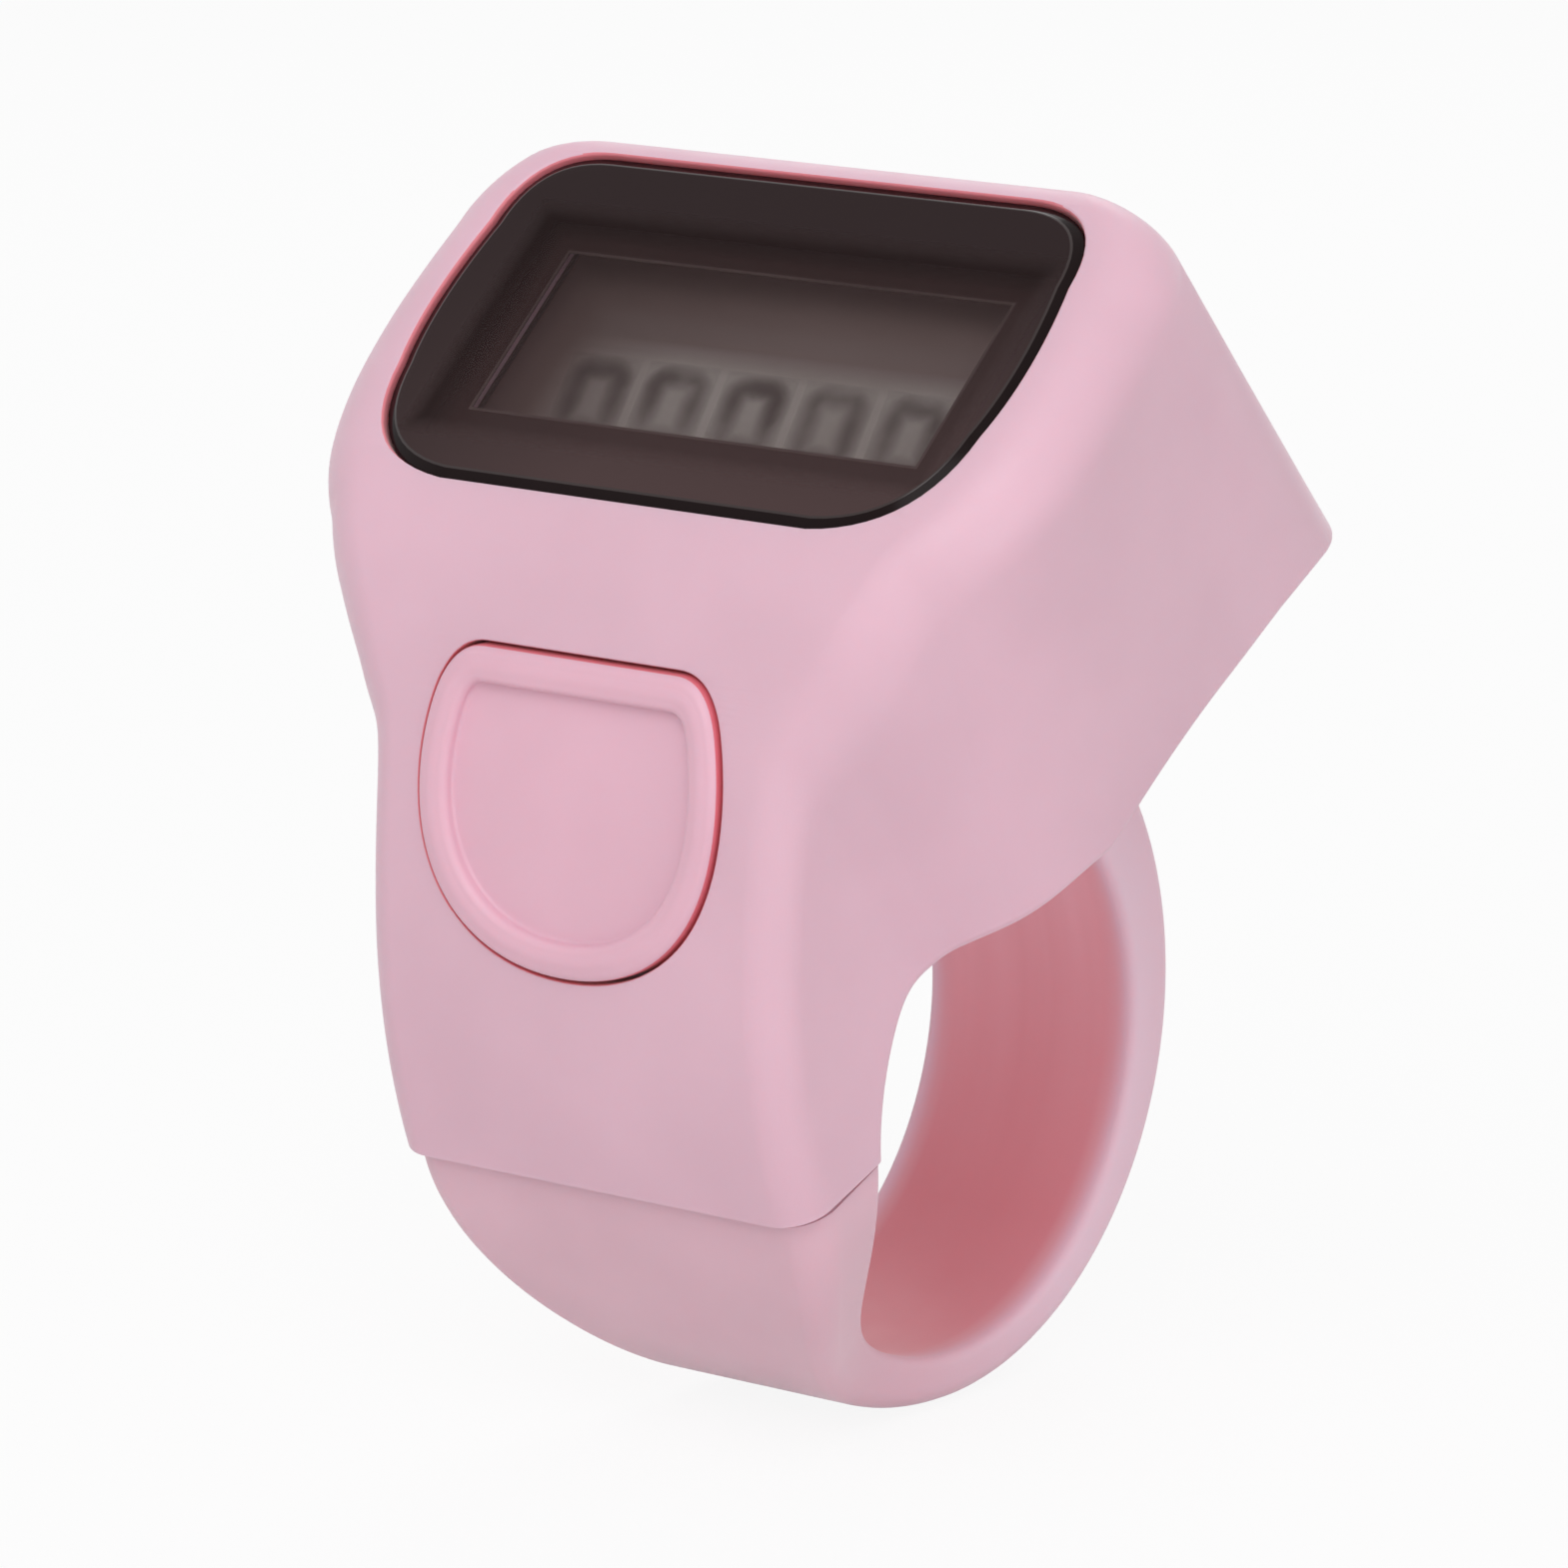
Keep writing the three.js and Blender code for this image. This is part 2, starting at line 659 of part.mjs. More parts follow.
// Button outline, seen from the front: x across, y up
function shieldOutline(inset) {
  const half = buttonHalfWidth - inset;
  const topHalf = buttonTopHalfWidth - inset;
  const top = buttonTop - inset;
  const bottom = buttonBottom + inset;
  const radius = Math.max(buttonCornerRadius - inset, leastRadius);
  const side = (buttonShoulderHeight + top - radius) / 2;
  const rise = (buttonShoulderHeight - bottom) * shieldRiseShare;
  const shape = new THREE.Shape();
  shape.moveTo(0, bottom);
  shape.bezierCurveTo(half * shieldRunShare, bottom, half, bottom + rise, half, buttonShoulderHeight);
  shape.quadraticCurveTo(half, side, topHalf, top - radius);
  shape.quadraticCurveTo(topHalf, top, topHalf - radius, top);
  shape.lineTo(radius - topHalf, top);
  shape.quadraticCurveTo(-topHalf, top, -topHalf, top - radius);
  shape.quadraticCurveTo(-half, side, -half, buttonShoulderHeight);
  shape.bezierCurveTo(-half, bottom + rise, -half * shieldRunShare, bottom, 0, bottom);
  return shape.getPoints(outlineSteps).slice(0, -1);
}

// A plate that follows the curve of the front face, from levels of height above that face and inset
function frontPlate(levels) {
  return skin(levels.map(([height, inset]) => shieldOutline(inset).map((point) =>
    new THREE.Vector3(point.x, frontDepth(point.y) - height, point.y))));
}

// A pin along Y, from one depth to another
function pinAlongY(radius, from, to, x, z, sides = roundSides) {
  return new THREE.CylinderGeometry(radius, radius, to - from, sides).translate(x, (from + to) / 2, z);
}

// A pin square to the rim, in the head's frame
function pinUp(radius, from, to, x, slope, sides = roundSides) {
  return new THREE.CylinderGeometry(radius, radius, to - from, sides)
    .rotateX(Math.PI / 2)
    .translate(x, slope, (from + to) / 2);
}

// A strip of even thickness along a bent line in a plane, given as an outline
function stripOutline(points, thickness) {
  const half = thickness / 2;
  const sides = [[], []];
  points.forEach((point, i) => {
    const before = points[Math.max(i - 1, 0)];
    const after = points[Math.min(i + 1, points.length - 1)];
    const arrive = point.clone().sub(i === 0 ? point.clone().add(point).sub(after) : before).normalize();
    const leave = (i === points.length - 1 ? arrive.clone() : after.clone().sub(point)).normalize();
    const normal = new THREE.Vector2(-arrive.y - leave.y, arrive.x + leave.x).normalize();
    const stretch = half / normal.dot(new THREE.Vector2(-arrive.y, arrive.x));
    sides[0].push(point.clone().addScaledVector(normal, stretch));
    sides[1].push(point.clone().addScaledVector(normal, -stretch));
  });
  return [...sides[0], ...sides[1].reverse()];
}

function inHead(geometry) {
  return geometry.applyMatrix4(headMatrix);
}

// Upper housing: an open shell with the lens recess, the button hole, screw bosses, pin lugs and stakes
function upperHousing() {
  const outside = solid(skin(shellBody({})));
  const cavity = solid(skin(extended(shellBody({ inset: wall, rimInset: rimWall, lift: -cutOverrun }))));
  const inside = solid(skin(shellBody({ inset: wall / 2, rimInset: wall, lift: coverThickness })));
  const mouth = lensGap + recessLip;
  const recess = inHead(plate(lensOutline, [[recessFloor, -lensGap], [rimHeight - recessLip, -lensGap],
    [rimHeight - recessLip * edgeDropShare, -lensGap - recessLip * edgeDropShare], [rimHeight, -mouth],
    [rimHeight + cutOverrun, -mouth]]));
  const windowHalfWidth = lensHalfWidth - windowSideMargin;
  const window = inHead(box(-windowHalfWidth, windowHalfWidth, lensFront + windowFrontMargin,
    lensBack - windowBackMargin, cavityTop - cutOverrun, recessFloor + cutOverrun));
  const buttonHole = frontPlate([[-wall - cutOverrun, 0], [-buttonEdge / 2, 0], [0, -buttonEdge / 3],
    [cutOverrun, -buttonEdge / 3]]);
  let body = outside.subtract(cavity);
  body = cut(body, recess, window, buttonHole);
  const clear = solid(aboveRoof(coverThickness + fitGap, 0));
  body = body.add(bosses().intersect(inside).intersect(clear)).add(stakes()).add(lugs().intersect(inside));
  const pilots = [-1, 1].map((side) => inHead(pinUp(screwShankRadius + touchGap, screwSeat,
    screwSeat + screwLength + fitGap, side * screwSpread, screwSlope)));
  const pocket = inHead(box(-tabHalfWidth - fitGap, tabHalfWidth + fitGap, rimBack - wall - cutOverrun,
    rimBack - wall + tabReach + fitGap, tabBottom - fitGap, tabBottom + tabThickness + fitGap));
  return geometryOf(cut(body, ...pilots, pocket));
}

function bosses() {
  const pieces = [-1, 1].flatMap((side) => [
    inHead(pinUp(bossRadius, bossBottom, bossTop, side * screwSpread, screwSlope)),
    inHead(box(
      Math.min(side * screwSpread, side * headHalfWidth),
      Math.max(side * screwSpread, side * headHalfWidth),
      screwSlope - bossWeb / 2,
      screwSlope + bossWeb / 2,
      bossBottom,
      bossTop,
    )),
  ]);
  return joined(...pieces);
}

function stakes() {
  const pieces = stakePlaces.flatMap(([x, z]) => {
    const root = frontDepth(z) + wall / 2;
    const pin = pinAlongY(stakeRadius, root, stakeHead - switchBoardBack, x, z);
    if (x === 0) return [pin];
    return [pin, pinAlongY(stakeShoulder, root, -switchBoardFace - touchGap, x, z)];
  });
  return joined(...pieces);
}

function lugs() {
  const near = tongueHalfWidth + fitGap;
  const slotHalf = pinRadius + touchGap;
  const pieces = [-1, 1].map((side) => cut(
    solid(box(
      Math.min(side * near, side * skirtHalfWidth),
      Math.max(side * near, side * skirtHalfWidth),
      tongueBack - lugDepth,
      tongueBack,
      lugBottom,
      lugBottom + lugHeight,
    )),
    box(
      Math.min(side * (near - cutOverrun), side * (pinHalfLength + touchGap)),
      Math.max(side * (near - cutOverrun), side * (pinHalfLength + touchGap)),
      pinDepth - slotHalf,
      tongueBack + cutOverrun,
      pinHeight - slotHalf,
      pinHeight + slotHalf,
    ),
  ));
  return pieces[0].add(pieces[1]);
}

// Base cover: the roof of the finger hole and the head's underside, with the cell well and clamp posts
function baseCover() {
  const filled = solid(skin(shellBody({ inset: wall + fitGap, rimInset: rimWall, lift: -cutOverrun })));
  const above = solid(aboveRoof(coverThickness / 2, 0));
  const plateBody = filled.intersect(solid(roofStrip(0, coverThickness)));
  const risers = joined(
    inHead(pinUp(wellRadius, 0, wellTop, 0, cellCentre, wellSides)),
    ...[-1, 1].flatMap((side) => [
      inHead(pinUp(clampPostRadius, 0, boardBottom - touchGap, side * clampPostSpread, clampPostSlope)),
      inHead(pinUp(bossRadius, 0, bossBottom - fitGap, side * screwSpread, screwSlope)),
    ]),
  );
  const tab = solid(inHead(box(-tabHalfWidth, tabHalfWidth, rimBack - wall - 2 * tabReach,
    rimBack - wall + tabReach, tabBottom, tabBottom + tabThickness)));
  const body = plateBody.add(risers.intersect(above).intersect(filled)).add(tab);
  const holes = [-1, 1].flatMap((side) => [
    inHead(pinUp(screwHeadRadius + fitGap, 0, screwSeat, side * screwSpread, screwSlope)),
    inHead(pinUp(screwShankRadius + fitGap, 0, bossBottom + cutOverrun, side * screwSpread, screwSlope)),
  ]);
  const bore = inHead(pinUp(cellRadius + fitGap, padBottom, wellTop + cutOverrun, 0, cellCentre, wellSides));
  const notch = inHead(box(0, wellRadius + cutOverrun, cellCentre - contactHalfWidth - fitGap,
    cellCentre + contactHalfWidth + fitGap, padBottom, wellTop + cutOverrun));
  return geometryOf(cut(body, ...holes, bore, notch, footPrism(fitGap)));
}

// The foot of the band: a stem through the cover and a head behind it
function footFrame() {
  const line = innerLine(0);
  const base = line.getPointAt(footShare);
  const along = line.getTangentAt(footShare);
  const up = new THREE.Vector2(-along.y, along.x);
  return (run, rise) => base.clone().addScaledVector(along, run).addScaledVector(up, rise);
}

function footPrism(gap) {
  const at = footFrame();
  const half = footStem / 2 + gap;
  const top = coverThickness + cutOverrun;
  return acrossX([at(-half, -footRoot), at(half, -footRoot), at(half, top), at(-half, top)], footAcross + gap);
}

function footGeometry() {
  const at = footFrame();
  const stem = footStem / 2;
  const head = footHead / 2;
  const seat = coverThickness + fitGap;
  const top = seat + footHeadThickness;
  return acrossX([at(-stem, -footRoot), at(stem, -footRoot), at(stem, seat), at(head, seat), at(head, top),
    at(-head, top), at(-head, seat), at(-stem, seat)], footAcross);
}

// Ring band: a tapered loop that runs from the seam round the finger and up into the cover
function bandRing(turn, start, end) {
  const angle = start + (end - start) * turn;
  const flow = Math.min((angle - start) / bandTaperSpan, 1);
  const half = bandBackHalfWidth + (bandSeamHalfWidth - bandBackHalfWidth) * (1 + Math.cos(Math.PI * flow)) / 2;
  const flare = bandFlare * (1 - Math.min((angle - start) / bandFlareSpan, 1)) ** bandFlarePower;
  const lean = seamLean * (1 - flow) ** 2;
  const inner = new THREE.Vector2(Math.cos(angle), Math.sin(angle)).multiplyScalar(fingerHoleRadius);
  const ray = new THREE.Vector2(Math.cos(angle + lean), Math.sin(angle + lean));
  const centre = new THREE.Vector2(bandCentreBack, bandCentreHeight);
  const outerRadius = fingerHoleRadius + bandThickness;
  const reach = ray.dot(centre);
  const outerReach = reach + Math.sqrt(reach ** 2 - centre.lengthSq() + outerRadius ** 2) + flare;
  const outer = ray.clone().multiplyScalar(outerReach);
  return sectionRing(outer, inner, half, half, bandEdgeRadius, bandEdgeRadius, bandInnerEdgeRadius);
}

function ringBand() {
  const start = seamInnerAngle + (fitGap + touchGap) / fingerHoleRadius;
  const end = 2 * Math.PI + bandEndAngle;
  const rings = [];
  for (let i = 0; i <= bandSteps; i++) rings.push(bandRing(i / bandSteps, start, end));
  const tongue = box(-tongueHalfWidth, tongueHalfWidth, tongueBack - tongueThickness, tongueBack,
    seamHeight - tongueRoot, seamHeight + tongueRise);
  const pinHole = new THREE.CylinderGeometry(pinRadius + touchGap, pinRadius + touchGap, 2 * skirtHalfWidth,
    roundSides).rotateZ(Math.PI / 2).translate(0, pinDepth, pinHeight);
  const loop = solid(skin(rings)).subtract(solid(aboveRoof(-fitGap, bandRoofShare)));
  return geometryOf(cut(loop.add(solid(tongue)).add(solid(footGeometry())), pinHole));
}

// Button cap: a raised rim round a dished pad, a flange behind the wall and a rib that meets the plunger
function countButton() {
  const flangeFront = -wall - fitGap;
  const cap = solid(frontPlate([
    [flangeFront - buttonFlangeThickness, -buttonFlange],
    [flangeFront, -buttonFlange],
    [flangeFront, buttonGap],
    [buttonProud - buttonEdge, buttonGap],
    [buttonProud - buttonEdge * edgeDropShare, buttonGap + buttonEdge * edgeDropShare],
    [buttonProud, buttonGap + buttonEdge],
    [buttonProud, buttonRimWidth - buttonEdge / 2],
    [buttonProud - buttonEdge * edgeDropShare, buttonRimWidth],
    [buttonProud - buttonPadDepth, buttonRimWidth + buttonEdge / 2],
    [buttonProud - buttonPadDepth, buttonRimWidth + buttonPadDish],
  ]));
  const hollow = frontPlate([
    [flangeFront - buttonFlangeThickness - cutOverrun, buttonRimWidth],
    [-buttonHollowDepth, buttonRimWidth],
  ]);
  const ribRoot = frontDepth(switchHeightAbove) + (buttonHollowDepth + buttonPadDepth) / 2;
  const rib = pinAlongY(buttonRibRadius, ribRoot, plungerTip - touchGap, 0, switchHeightAbove);
  return geometryOf(cut(cap, hollow).add(solid(rib)));
}

// The parts of the switch
function switchBlock(front, back, bore, boreBack) {
  const block = solid(box(-switchHalfSize, switchHalfSize, front, back,
    switchHeightAbove - switchHalfSize, switchHeightAbove + switchHalfSize));
  return geometryOf(cut(block, pinAlongY(bore, front - cutOverrun, boreBack, 0, switchHeightAbove)));
}

function switchBoard() {
  const board = solid(box(-switchBoardHalfWidth, switchBoardHalfWidth, -switchBoardFace, -switchBoardBack,
    switchBoardBottom, switchBoardTop));
  return geometryOf(cut(board, ...stakePlaces.map(([x, z]) =>
    pinAlongY(stakeRadius + touchGap, -switchBoardFace - cutOverrun, cutOverrun - switchBoardBack, x, z))));
}

// The holder carries the glass on a ledge and the contact strip in a slot
function displayHolder() {
  const frame = solid(box(-holderHalfWidth, holderHalfWidth, holderFront, holderBack, holderBottom, holderTop));
  const glassPocket = box(-displayHalfWidth - fitGap, displayHalfWidth + fitGap, displayFront - fitGap,
    displayBack + fitGap, displayLedge, holderTop + cutOverrun);
  const middle = box(ledgeSide - displayHalfWidth, displayHalfWidth - ledgeSide, displayFront + ledgeFront,
    displayBack - ledgeBack, holderBottom - cutOverrun, holderTop);
  const slot = box(-displayHalfWidth + zebraWidth, displayHalfWidth - zebraWidth, zebraFront - touchGap,
    zebraFront + zebraWidth + touchGap, holderBottom - cutOverrun, holderTop);
  const pilots = [-1, 1].map((side) => pinUp(screwShankRadius + touchGap, holderBottom - cutOverrun,
    displayLedge - fitGap, side * boardScrewSpread, boardScrewSlope));
  return geometryOf(cut(frame, glassPocket, middle, slot, ...pilots));
}

function layer(front, top, thickness) {
  return box(-displayHalfWidth, displayHalfWidth, front, displayBack, top - thickness, top);
}

// Black tape over the whole underside of the lens, open over the display
function lensTape() {
  const top = lensBottom - touchGap;
  const sheet = solid(plate(lensOutline, [[top - tapeThickness, touchGap], [top, touchGap]]));
  const viewHalfWidth = lensHalfWidth - viewSideMargin;
  return geometryOf(cut(sheet, box(-viewHalfWidth, viewHalfWidth, lensFront + viewFrontMargin,
    lensBack - viewBackMargin, top - tapeThickness - cutOverrun, top + cutOverrun)));
}

function mainBoard() {
  const board = solid(box(-boardHalfWidth, boardHalfWidth, boardFront, holderBack, boardBottom, boardTop));
  return geometryOf(cut(board, ...[-1, 1].map((side) => pinUp(screwShankRadius + fitGap,
    boardBottom - cutOverrun, boardTop + cutOverrun, side * boardScrewSpread, boardScrewSlope))));
}

// Turned pieces, their axis square to the rim
function turned(profile, x, slope, sides = wellSides) {
  return new THREE.LatheGeometry(profile.map(([radius, height]) => new THREE.Vector2(radius, height)), sides)
    .rotateX(Math.PI / 2)
    .translate(x, slope, 0);
}

function screwGeometry(headBottom, length, x, slope) {
  const seat = headBottom + screwHeadThickness;
  const drive = screwHeadThickness / 2;
  return turned([[0, headBottom + drive], [screwShankRadius, headBottom + drive / 2],
    [screwShankRadius, headBottom], [screwHeadRadius - drive / 2, headBottom],
    [screwHeadRadius, headBottom + drive / 2], [screwHeadRadius, seat], [screwShankRadius, seat],
    [screwShankRadius, seat + length - screwShankRadius], [0, seat + length]], x, slope, screwSides);
}

function cellCan() {
  const shoulder = cellTop - cellCapRise;
  const inner = cellSealRadius;
  return turned([[0, cellBottom], [cellRadius - cellEdge, cellBottom], [cellRadius, cellBottom + cellEdge],
    [cellRadius, shoulder - cellEdge], [cellRadius - cellEdge, shoulder], [inner, shoulder],
    [inner, shoulder - cellSealDepth], [0, shoulder - cellSealDepth]], 0, cellCentre);
}

function cellSeal() {
  const shoulder = cellTop - cellCapRise;
  const outer = cellSealRadius - touchGap;
  const inner = outer - cellSealWidth;
  const bottom = shoulder - cellSealDepth + touchGap;
  return turned([[inner, bottom], [outer, bottom], [outer, shoulder], [inner, shoulder], [inner, bottom]],
    0, cellCentre);
}

function cellCap() {
  const radius = cellSealRadius - cellSealWidth - 2 * touchGap;
  const bottom = cellTop - cellCapRise - cellSealDepth + touchGap;
  return turned([[0, bottom], [radius, bottom], [radius, cellTop - cellEdge], [radius - cellEdge, cellTop],
    [0, cellTop]], 0, cellCentre);
}

// Bent strips, drawn across the head in x and height, and as wide as the slope allows
function contactStrip(points) {
  const outline = stripOutline(points.map(([x, height]) => new THREE.Vector2(x, height)), contactThickness);
  return new THREE.ExtrudeGeometry(new THREE.Shape(outline), { depth: 2 * contactHalfWidth, bevelEnabled: false })
    .rotateX(Math.PI / 2)
    .translate(0, cellCentre + contactHalfWidth, 0);
}

function plusClip() {
  const half = contactThickness / 2;
  const leg = cellRadius + fitGap + half;
  const top = boardBottom - touchGap - half;
  return contactStrip([[leg + contactFoot, top], [leg, top], [leg, clipBottom + half],
    [-cellRadius / 2, clipBottom + half]]);
}

function minusSpring() {
  const half = contactThickness / 2;
  const top = boardBottom - touchGap - half;
  const reach = cellRadius - springMargin;
  return contactStrip([[-reach, top], [-reach / 2, top], [reach / 3, cellTop + touchGap + half],
    [reach / 2, cellTop + touchGap + half + contactThickness]]);
}

// The ribbon leaves the back of the switch board and laps under the front of the main board
function ribbonCable() {
  const half = ribbonThickness / 2 + touchGap;
  const lap = headPoint(boardFront + ribbonLap, boardBottom - half);
  const edge = headPoint(boardFront, boardBottom - half);
  const depth = half - switchBoardBack;
  const height = edge.y - ribbonLap;
  const path = new THREE.Path();
  path.moveTo(depth, height - ribbonLap);
  path.lineTo(depth, height);
  const swing = ribbonLap;
  path.bezierCurveTo(depth, height + swing, edge.x - cosTilt * swing, edge.y - sinTilt * swing,
    edge.x, edge.y);
  path.lineTo(lap.x, lap.y);
  return acrossX(stripOutline(path.getPoints(ribbonSteps), ribbonThickness), ribbonHalfWidth);
}

function paint(color, roughness, metalness = 0) {
  return new THREE.MeshStandardMaterial({ color, roughness, metalness });
}

const pinkShell = paint(0xe0b3c6, 0.55);
const pinkBand = paint(0xdba9bc, 0.65);
const smoke = paint(0x2e2423, 0.12);
const steel = paint(0xb8b8ba, 0.35, 1);
const boardGreen = paint(0x2f6b45, 0.6);
const black = paint(0x1c1c1e, 0.6);
const glass = paint(0x8d9490, 0.1);
const white = paint(0xe6e4df, 0.7);
const rubber = paint(0x3a3a3c, 0.8);

const root = new THREE.Group();
const headGroup = new THREE.Group();
headGroup.rotation.x = rimTilt;
root.add(headGroup);

function place(parent, name, geometry, material) {
  const mesh = new THREE.Mesh(geometry, material);
  mesh.name = name;
  parent.add(mesh);
}

place(root, "upper_housing", upperHousing(), pinkShell);
place(root, "base_cover", baseCover(), pinkShell);
place(root, "ring_band", ringBand(), pinkBand);
place(root, "count_button", countButton(), pinkShell);
place(root, "switch_board", switchBoard(), boardGreen);
place(root, "switch_base", switchBlock(switchFace, switchFace + switchBaseThickness, plungerRadius + touchGap,
  switchFace + plungerWell), black);
place(root, "switch_plate", switchBlock(switchPlateFace, switchFace - touchGap / 2, plungerRadius + touchGap,
  switchFace), steel);
place(root, "switch_plunger", pinAlongY(plungerRadius, plungerTip, plungerTip + plungerLength, 0,
  switchHeightAbove), black);
place(root, "ribbon_cable", ribbonCable(), paint(0xc9a24a, 0.5));
place(root, "band_pin", new THREE.CylinderGeometry(pinRadius, pinRadius, 2 * pinHalfLength, roundSides)
  .rotateZ(Math.PI / 2).translate(0, pinDepth, pinHeight), steel);
place(headGroup, "display_lens", plate(lensOutline, [[lensBottom, 0], [lensTop - lensBevel, 0],
  [lensTop - lensBevel * edgeDropShare, lensBevel * edgeDropShare], [lensTop, lensBevel + lensBevel / 2]]), smoke);
place(headGroup, "lens_tape", lensTape(), black);
place(headGroup, "lcd_front_polariser", layer(displayFront + contactLedge, filmTop, filmThickness), glass);
place(headGroup, "lcd_front_glass", layer(displayFront, frontGlassTop, glassThickness), glass);
place(headGroup, "lcd_rear_glass", layer(displayFront + contactLedge, rearGlassTop, glassThickness), glass);
place(headGroup, "lcd_reflector", layer(displayFront + contactLedge, reflectorTop, filmThickness), steel);
place(headGroup, "lcd_holder", displayHolder(), white);
place(headGroup, "zebra_strip", box(-displayHalfWidth + zebraWidth + touchGap, displayHalfWidth - zebraWidth
  - touchGap, zebraFront, zebraFront + zebraWidth, boardTop + touchGap, rearGlassTop), rubber);
place(headGroup, "main_board", mainBoard(), boardGreen);
place(headGroup, "chip_blob", turned([[0, boardBottom - touchGap], [blobRadius, boardBottom - touchGap],
  [blobRadius * blobShoulderShare, boardBottom - blobHeight / 2 - touchGap], [0, boardBottom - blobHeight]]
  .reverse(), -(wellRadius + boardHalfWidth) / 2, cellCentre, roundSides), black);
["chip_capacitor_1", "chip_capacitor_2", "chip_resistor"].forEach((name, i) => {
  const slope = cellCentre - chipPitch / 2 + (i - 1) * chipPitch;
  place(headGroup, name, box(chipStart, chipStart + chipLength, slope - chipWidth / 2, slope + chipWidth / 2,
    boardBottom - touchGap - chipWidth, boardBottom - touchGap), i === 2 ? black : white);
});
place(headGroup, "cell_can", cellCan(), steel);
place(headGroup, "cell_seal", cellSeal(), rubber);
place(headGroup, "cell_cap", cellCap(), steel);
place(headGroup, "battery_plus_clip", plusClip(), steel);
place(headGroup, "battery_minus_spring", minusSpring(), steel);
place(headGroup, "battery_pad", pinUp(cellRadius, padBottom + touchGap, padTop, 0, cellCentre, wellSides), rubber);
[["left", -1], ["right", 1]].forEach(([name, side]) => {
  place(headGroup, "cover_screw_" + name, screwGeometry(screwSeat - screwHeadThickness - touchGap, screwLength
    - fitGap, side * screwSpread, screwSlope), steel);
  place(headGroup, "board_screw_" + name, screwGeometry(boardBottom - screwHeadThickness - touchGap,
    displayLedge - 2 * fitGap - boardBottom, side * boardScrewSpread, boardScrewSlope), steel);
});

export default root;
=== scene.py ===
import json
import math

import bmesh
import bpy
import numpy as np
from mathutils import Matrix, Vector


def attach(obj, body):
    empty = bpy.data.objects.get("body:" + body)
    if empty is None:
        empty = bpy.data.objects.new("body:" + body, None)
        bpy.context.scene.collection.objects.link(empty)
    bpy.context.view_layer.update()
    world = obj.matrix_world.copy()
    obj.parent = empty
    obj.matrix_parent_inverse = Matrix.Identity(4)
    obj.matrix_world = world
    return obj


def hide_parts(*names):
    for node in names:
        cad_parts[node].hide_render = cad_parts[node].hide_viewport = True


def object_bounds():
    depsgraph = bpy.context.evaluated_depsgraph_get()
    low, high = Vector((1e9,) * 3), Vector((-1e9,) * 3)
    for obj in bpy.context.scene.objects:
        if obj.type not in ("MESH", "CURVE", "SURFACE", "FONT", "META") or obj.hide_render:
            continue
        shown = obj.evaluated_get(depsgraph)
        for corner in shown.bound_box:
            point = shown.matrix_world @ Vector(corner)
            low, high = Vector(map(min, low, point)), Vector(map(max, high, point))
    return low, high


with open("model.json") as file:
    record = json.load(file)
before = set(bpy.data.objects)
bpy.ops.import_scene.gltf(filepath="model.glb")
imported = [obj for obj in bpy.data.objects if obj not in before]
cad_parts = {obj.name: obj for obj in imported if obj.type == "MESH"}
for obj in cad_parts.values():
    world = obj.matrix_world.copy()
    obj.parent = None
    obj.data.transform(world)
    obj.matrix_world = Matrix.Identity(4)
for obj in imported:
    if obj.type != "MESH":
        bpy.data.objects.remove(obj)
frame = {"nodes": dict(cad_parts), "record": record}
cad_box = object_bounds()
nodes = frame["nodes"]

# Sizes in millimetres, as the solids have them. Meshes are scaled to metres when they are made.
MM = 0.001
HOLE_RADIUS = 9.9
RIM_TILT = math.radians(41.5)
RIM_HEIGHT = 24.0
RIM_LENGTH = 16.27
UNDERSIDE_BACK_HEIGHT = 6.75
HEAD_HALF_WIDTH = 15.2
FOOT_HALF_WIDTH = 13.35
SKIRT_HALF_WIDTH = 8.75
FRONT_REACH = 15.7
FRONT_CROWN_HEIGHT = 6.5
LOWER_FRONT_RADIUS = 24.0
UPPER_FRONT_RADIUS = 42.0
SEAM_HEIGHT = -2.0
WALL = 1.3
RIM_WALL = 2.5
RIM_FRONT_BLEND = 2.2
BACK_CORNER_RADIUS = 4.4
UNDERSIDE_CORNER_RADIUS = 1.6
BACK_EDGE_RADIUS = 1.5
SKIRT_EDGE_RADIUS = 1.45
HEAD_EDGE_RADIUS = 2.55
INNER_EDGE_RADIUS = 0.4
LEAST_RADIUS = 0.15
SEAM_INNER_ANGLE = math.radians(182)
ROOF_ANGLE = math.radians(110)
ROOF_RUN = 3.5 * math.sin(math.radians(45))
UNDERSIDE_RUN = 4.2
OVERRUN = 2.0
FAR = 40.0
WELD = 0.0001
FIT_GAP = 0.12
TOUCH_GAP = 0.04

LENS_SIDE_MARGIN = 3.1
LENS_FRONT_MARGIN = 1.07
LENS_BACK_MARGIN = 1.5
LENS_FRONT_CORNER = 4.2
LENS_BACK_CORNER = 3.2
LENS_CORNER_PULL = 0.09
LENS_END_NARROWING = 0.3
LENS_THICKNESS = 1.2
LENS_SINK = 0.04
LENS_BEVEL = 0.4
LENS_BEVEL_DROP = 0.18
LENS_EDGE = 0.07
LENS_REACH = 0.15
LENS_FACE_REACH = 0.004
MASK_REACH = 0.18
FRAME_WIDTH = 0.11
FRAME_THICKNESS = 0.03
LENS_GAP = 0.22
TAPE_THICKNESS = 0.15
RECESS_LIP = 0.14
RECESS_UPRIGHT = 0.8
PRINT_LIFT = 0.004
VIEW_SIDE_MARGIN = 2.75
VIEW_FRONT_MARGIN = 3.5
VIEW_BACK_MARGIN = 3.1
VIEW_SHIFT = 0.5
WINDOW_SIDE_MARGIN = 1.8
WINDOW_FRONT_MARGIN = 2.4
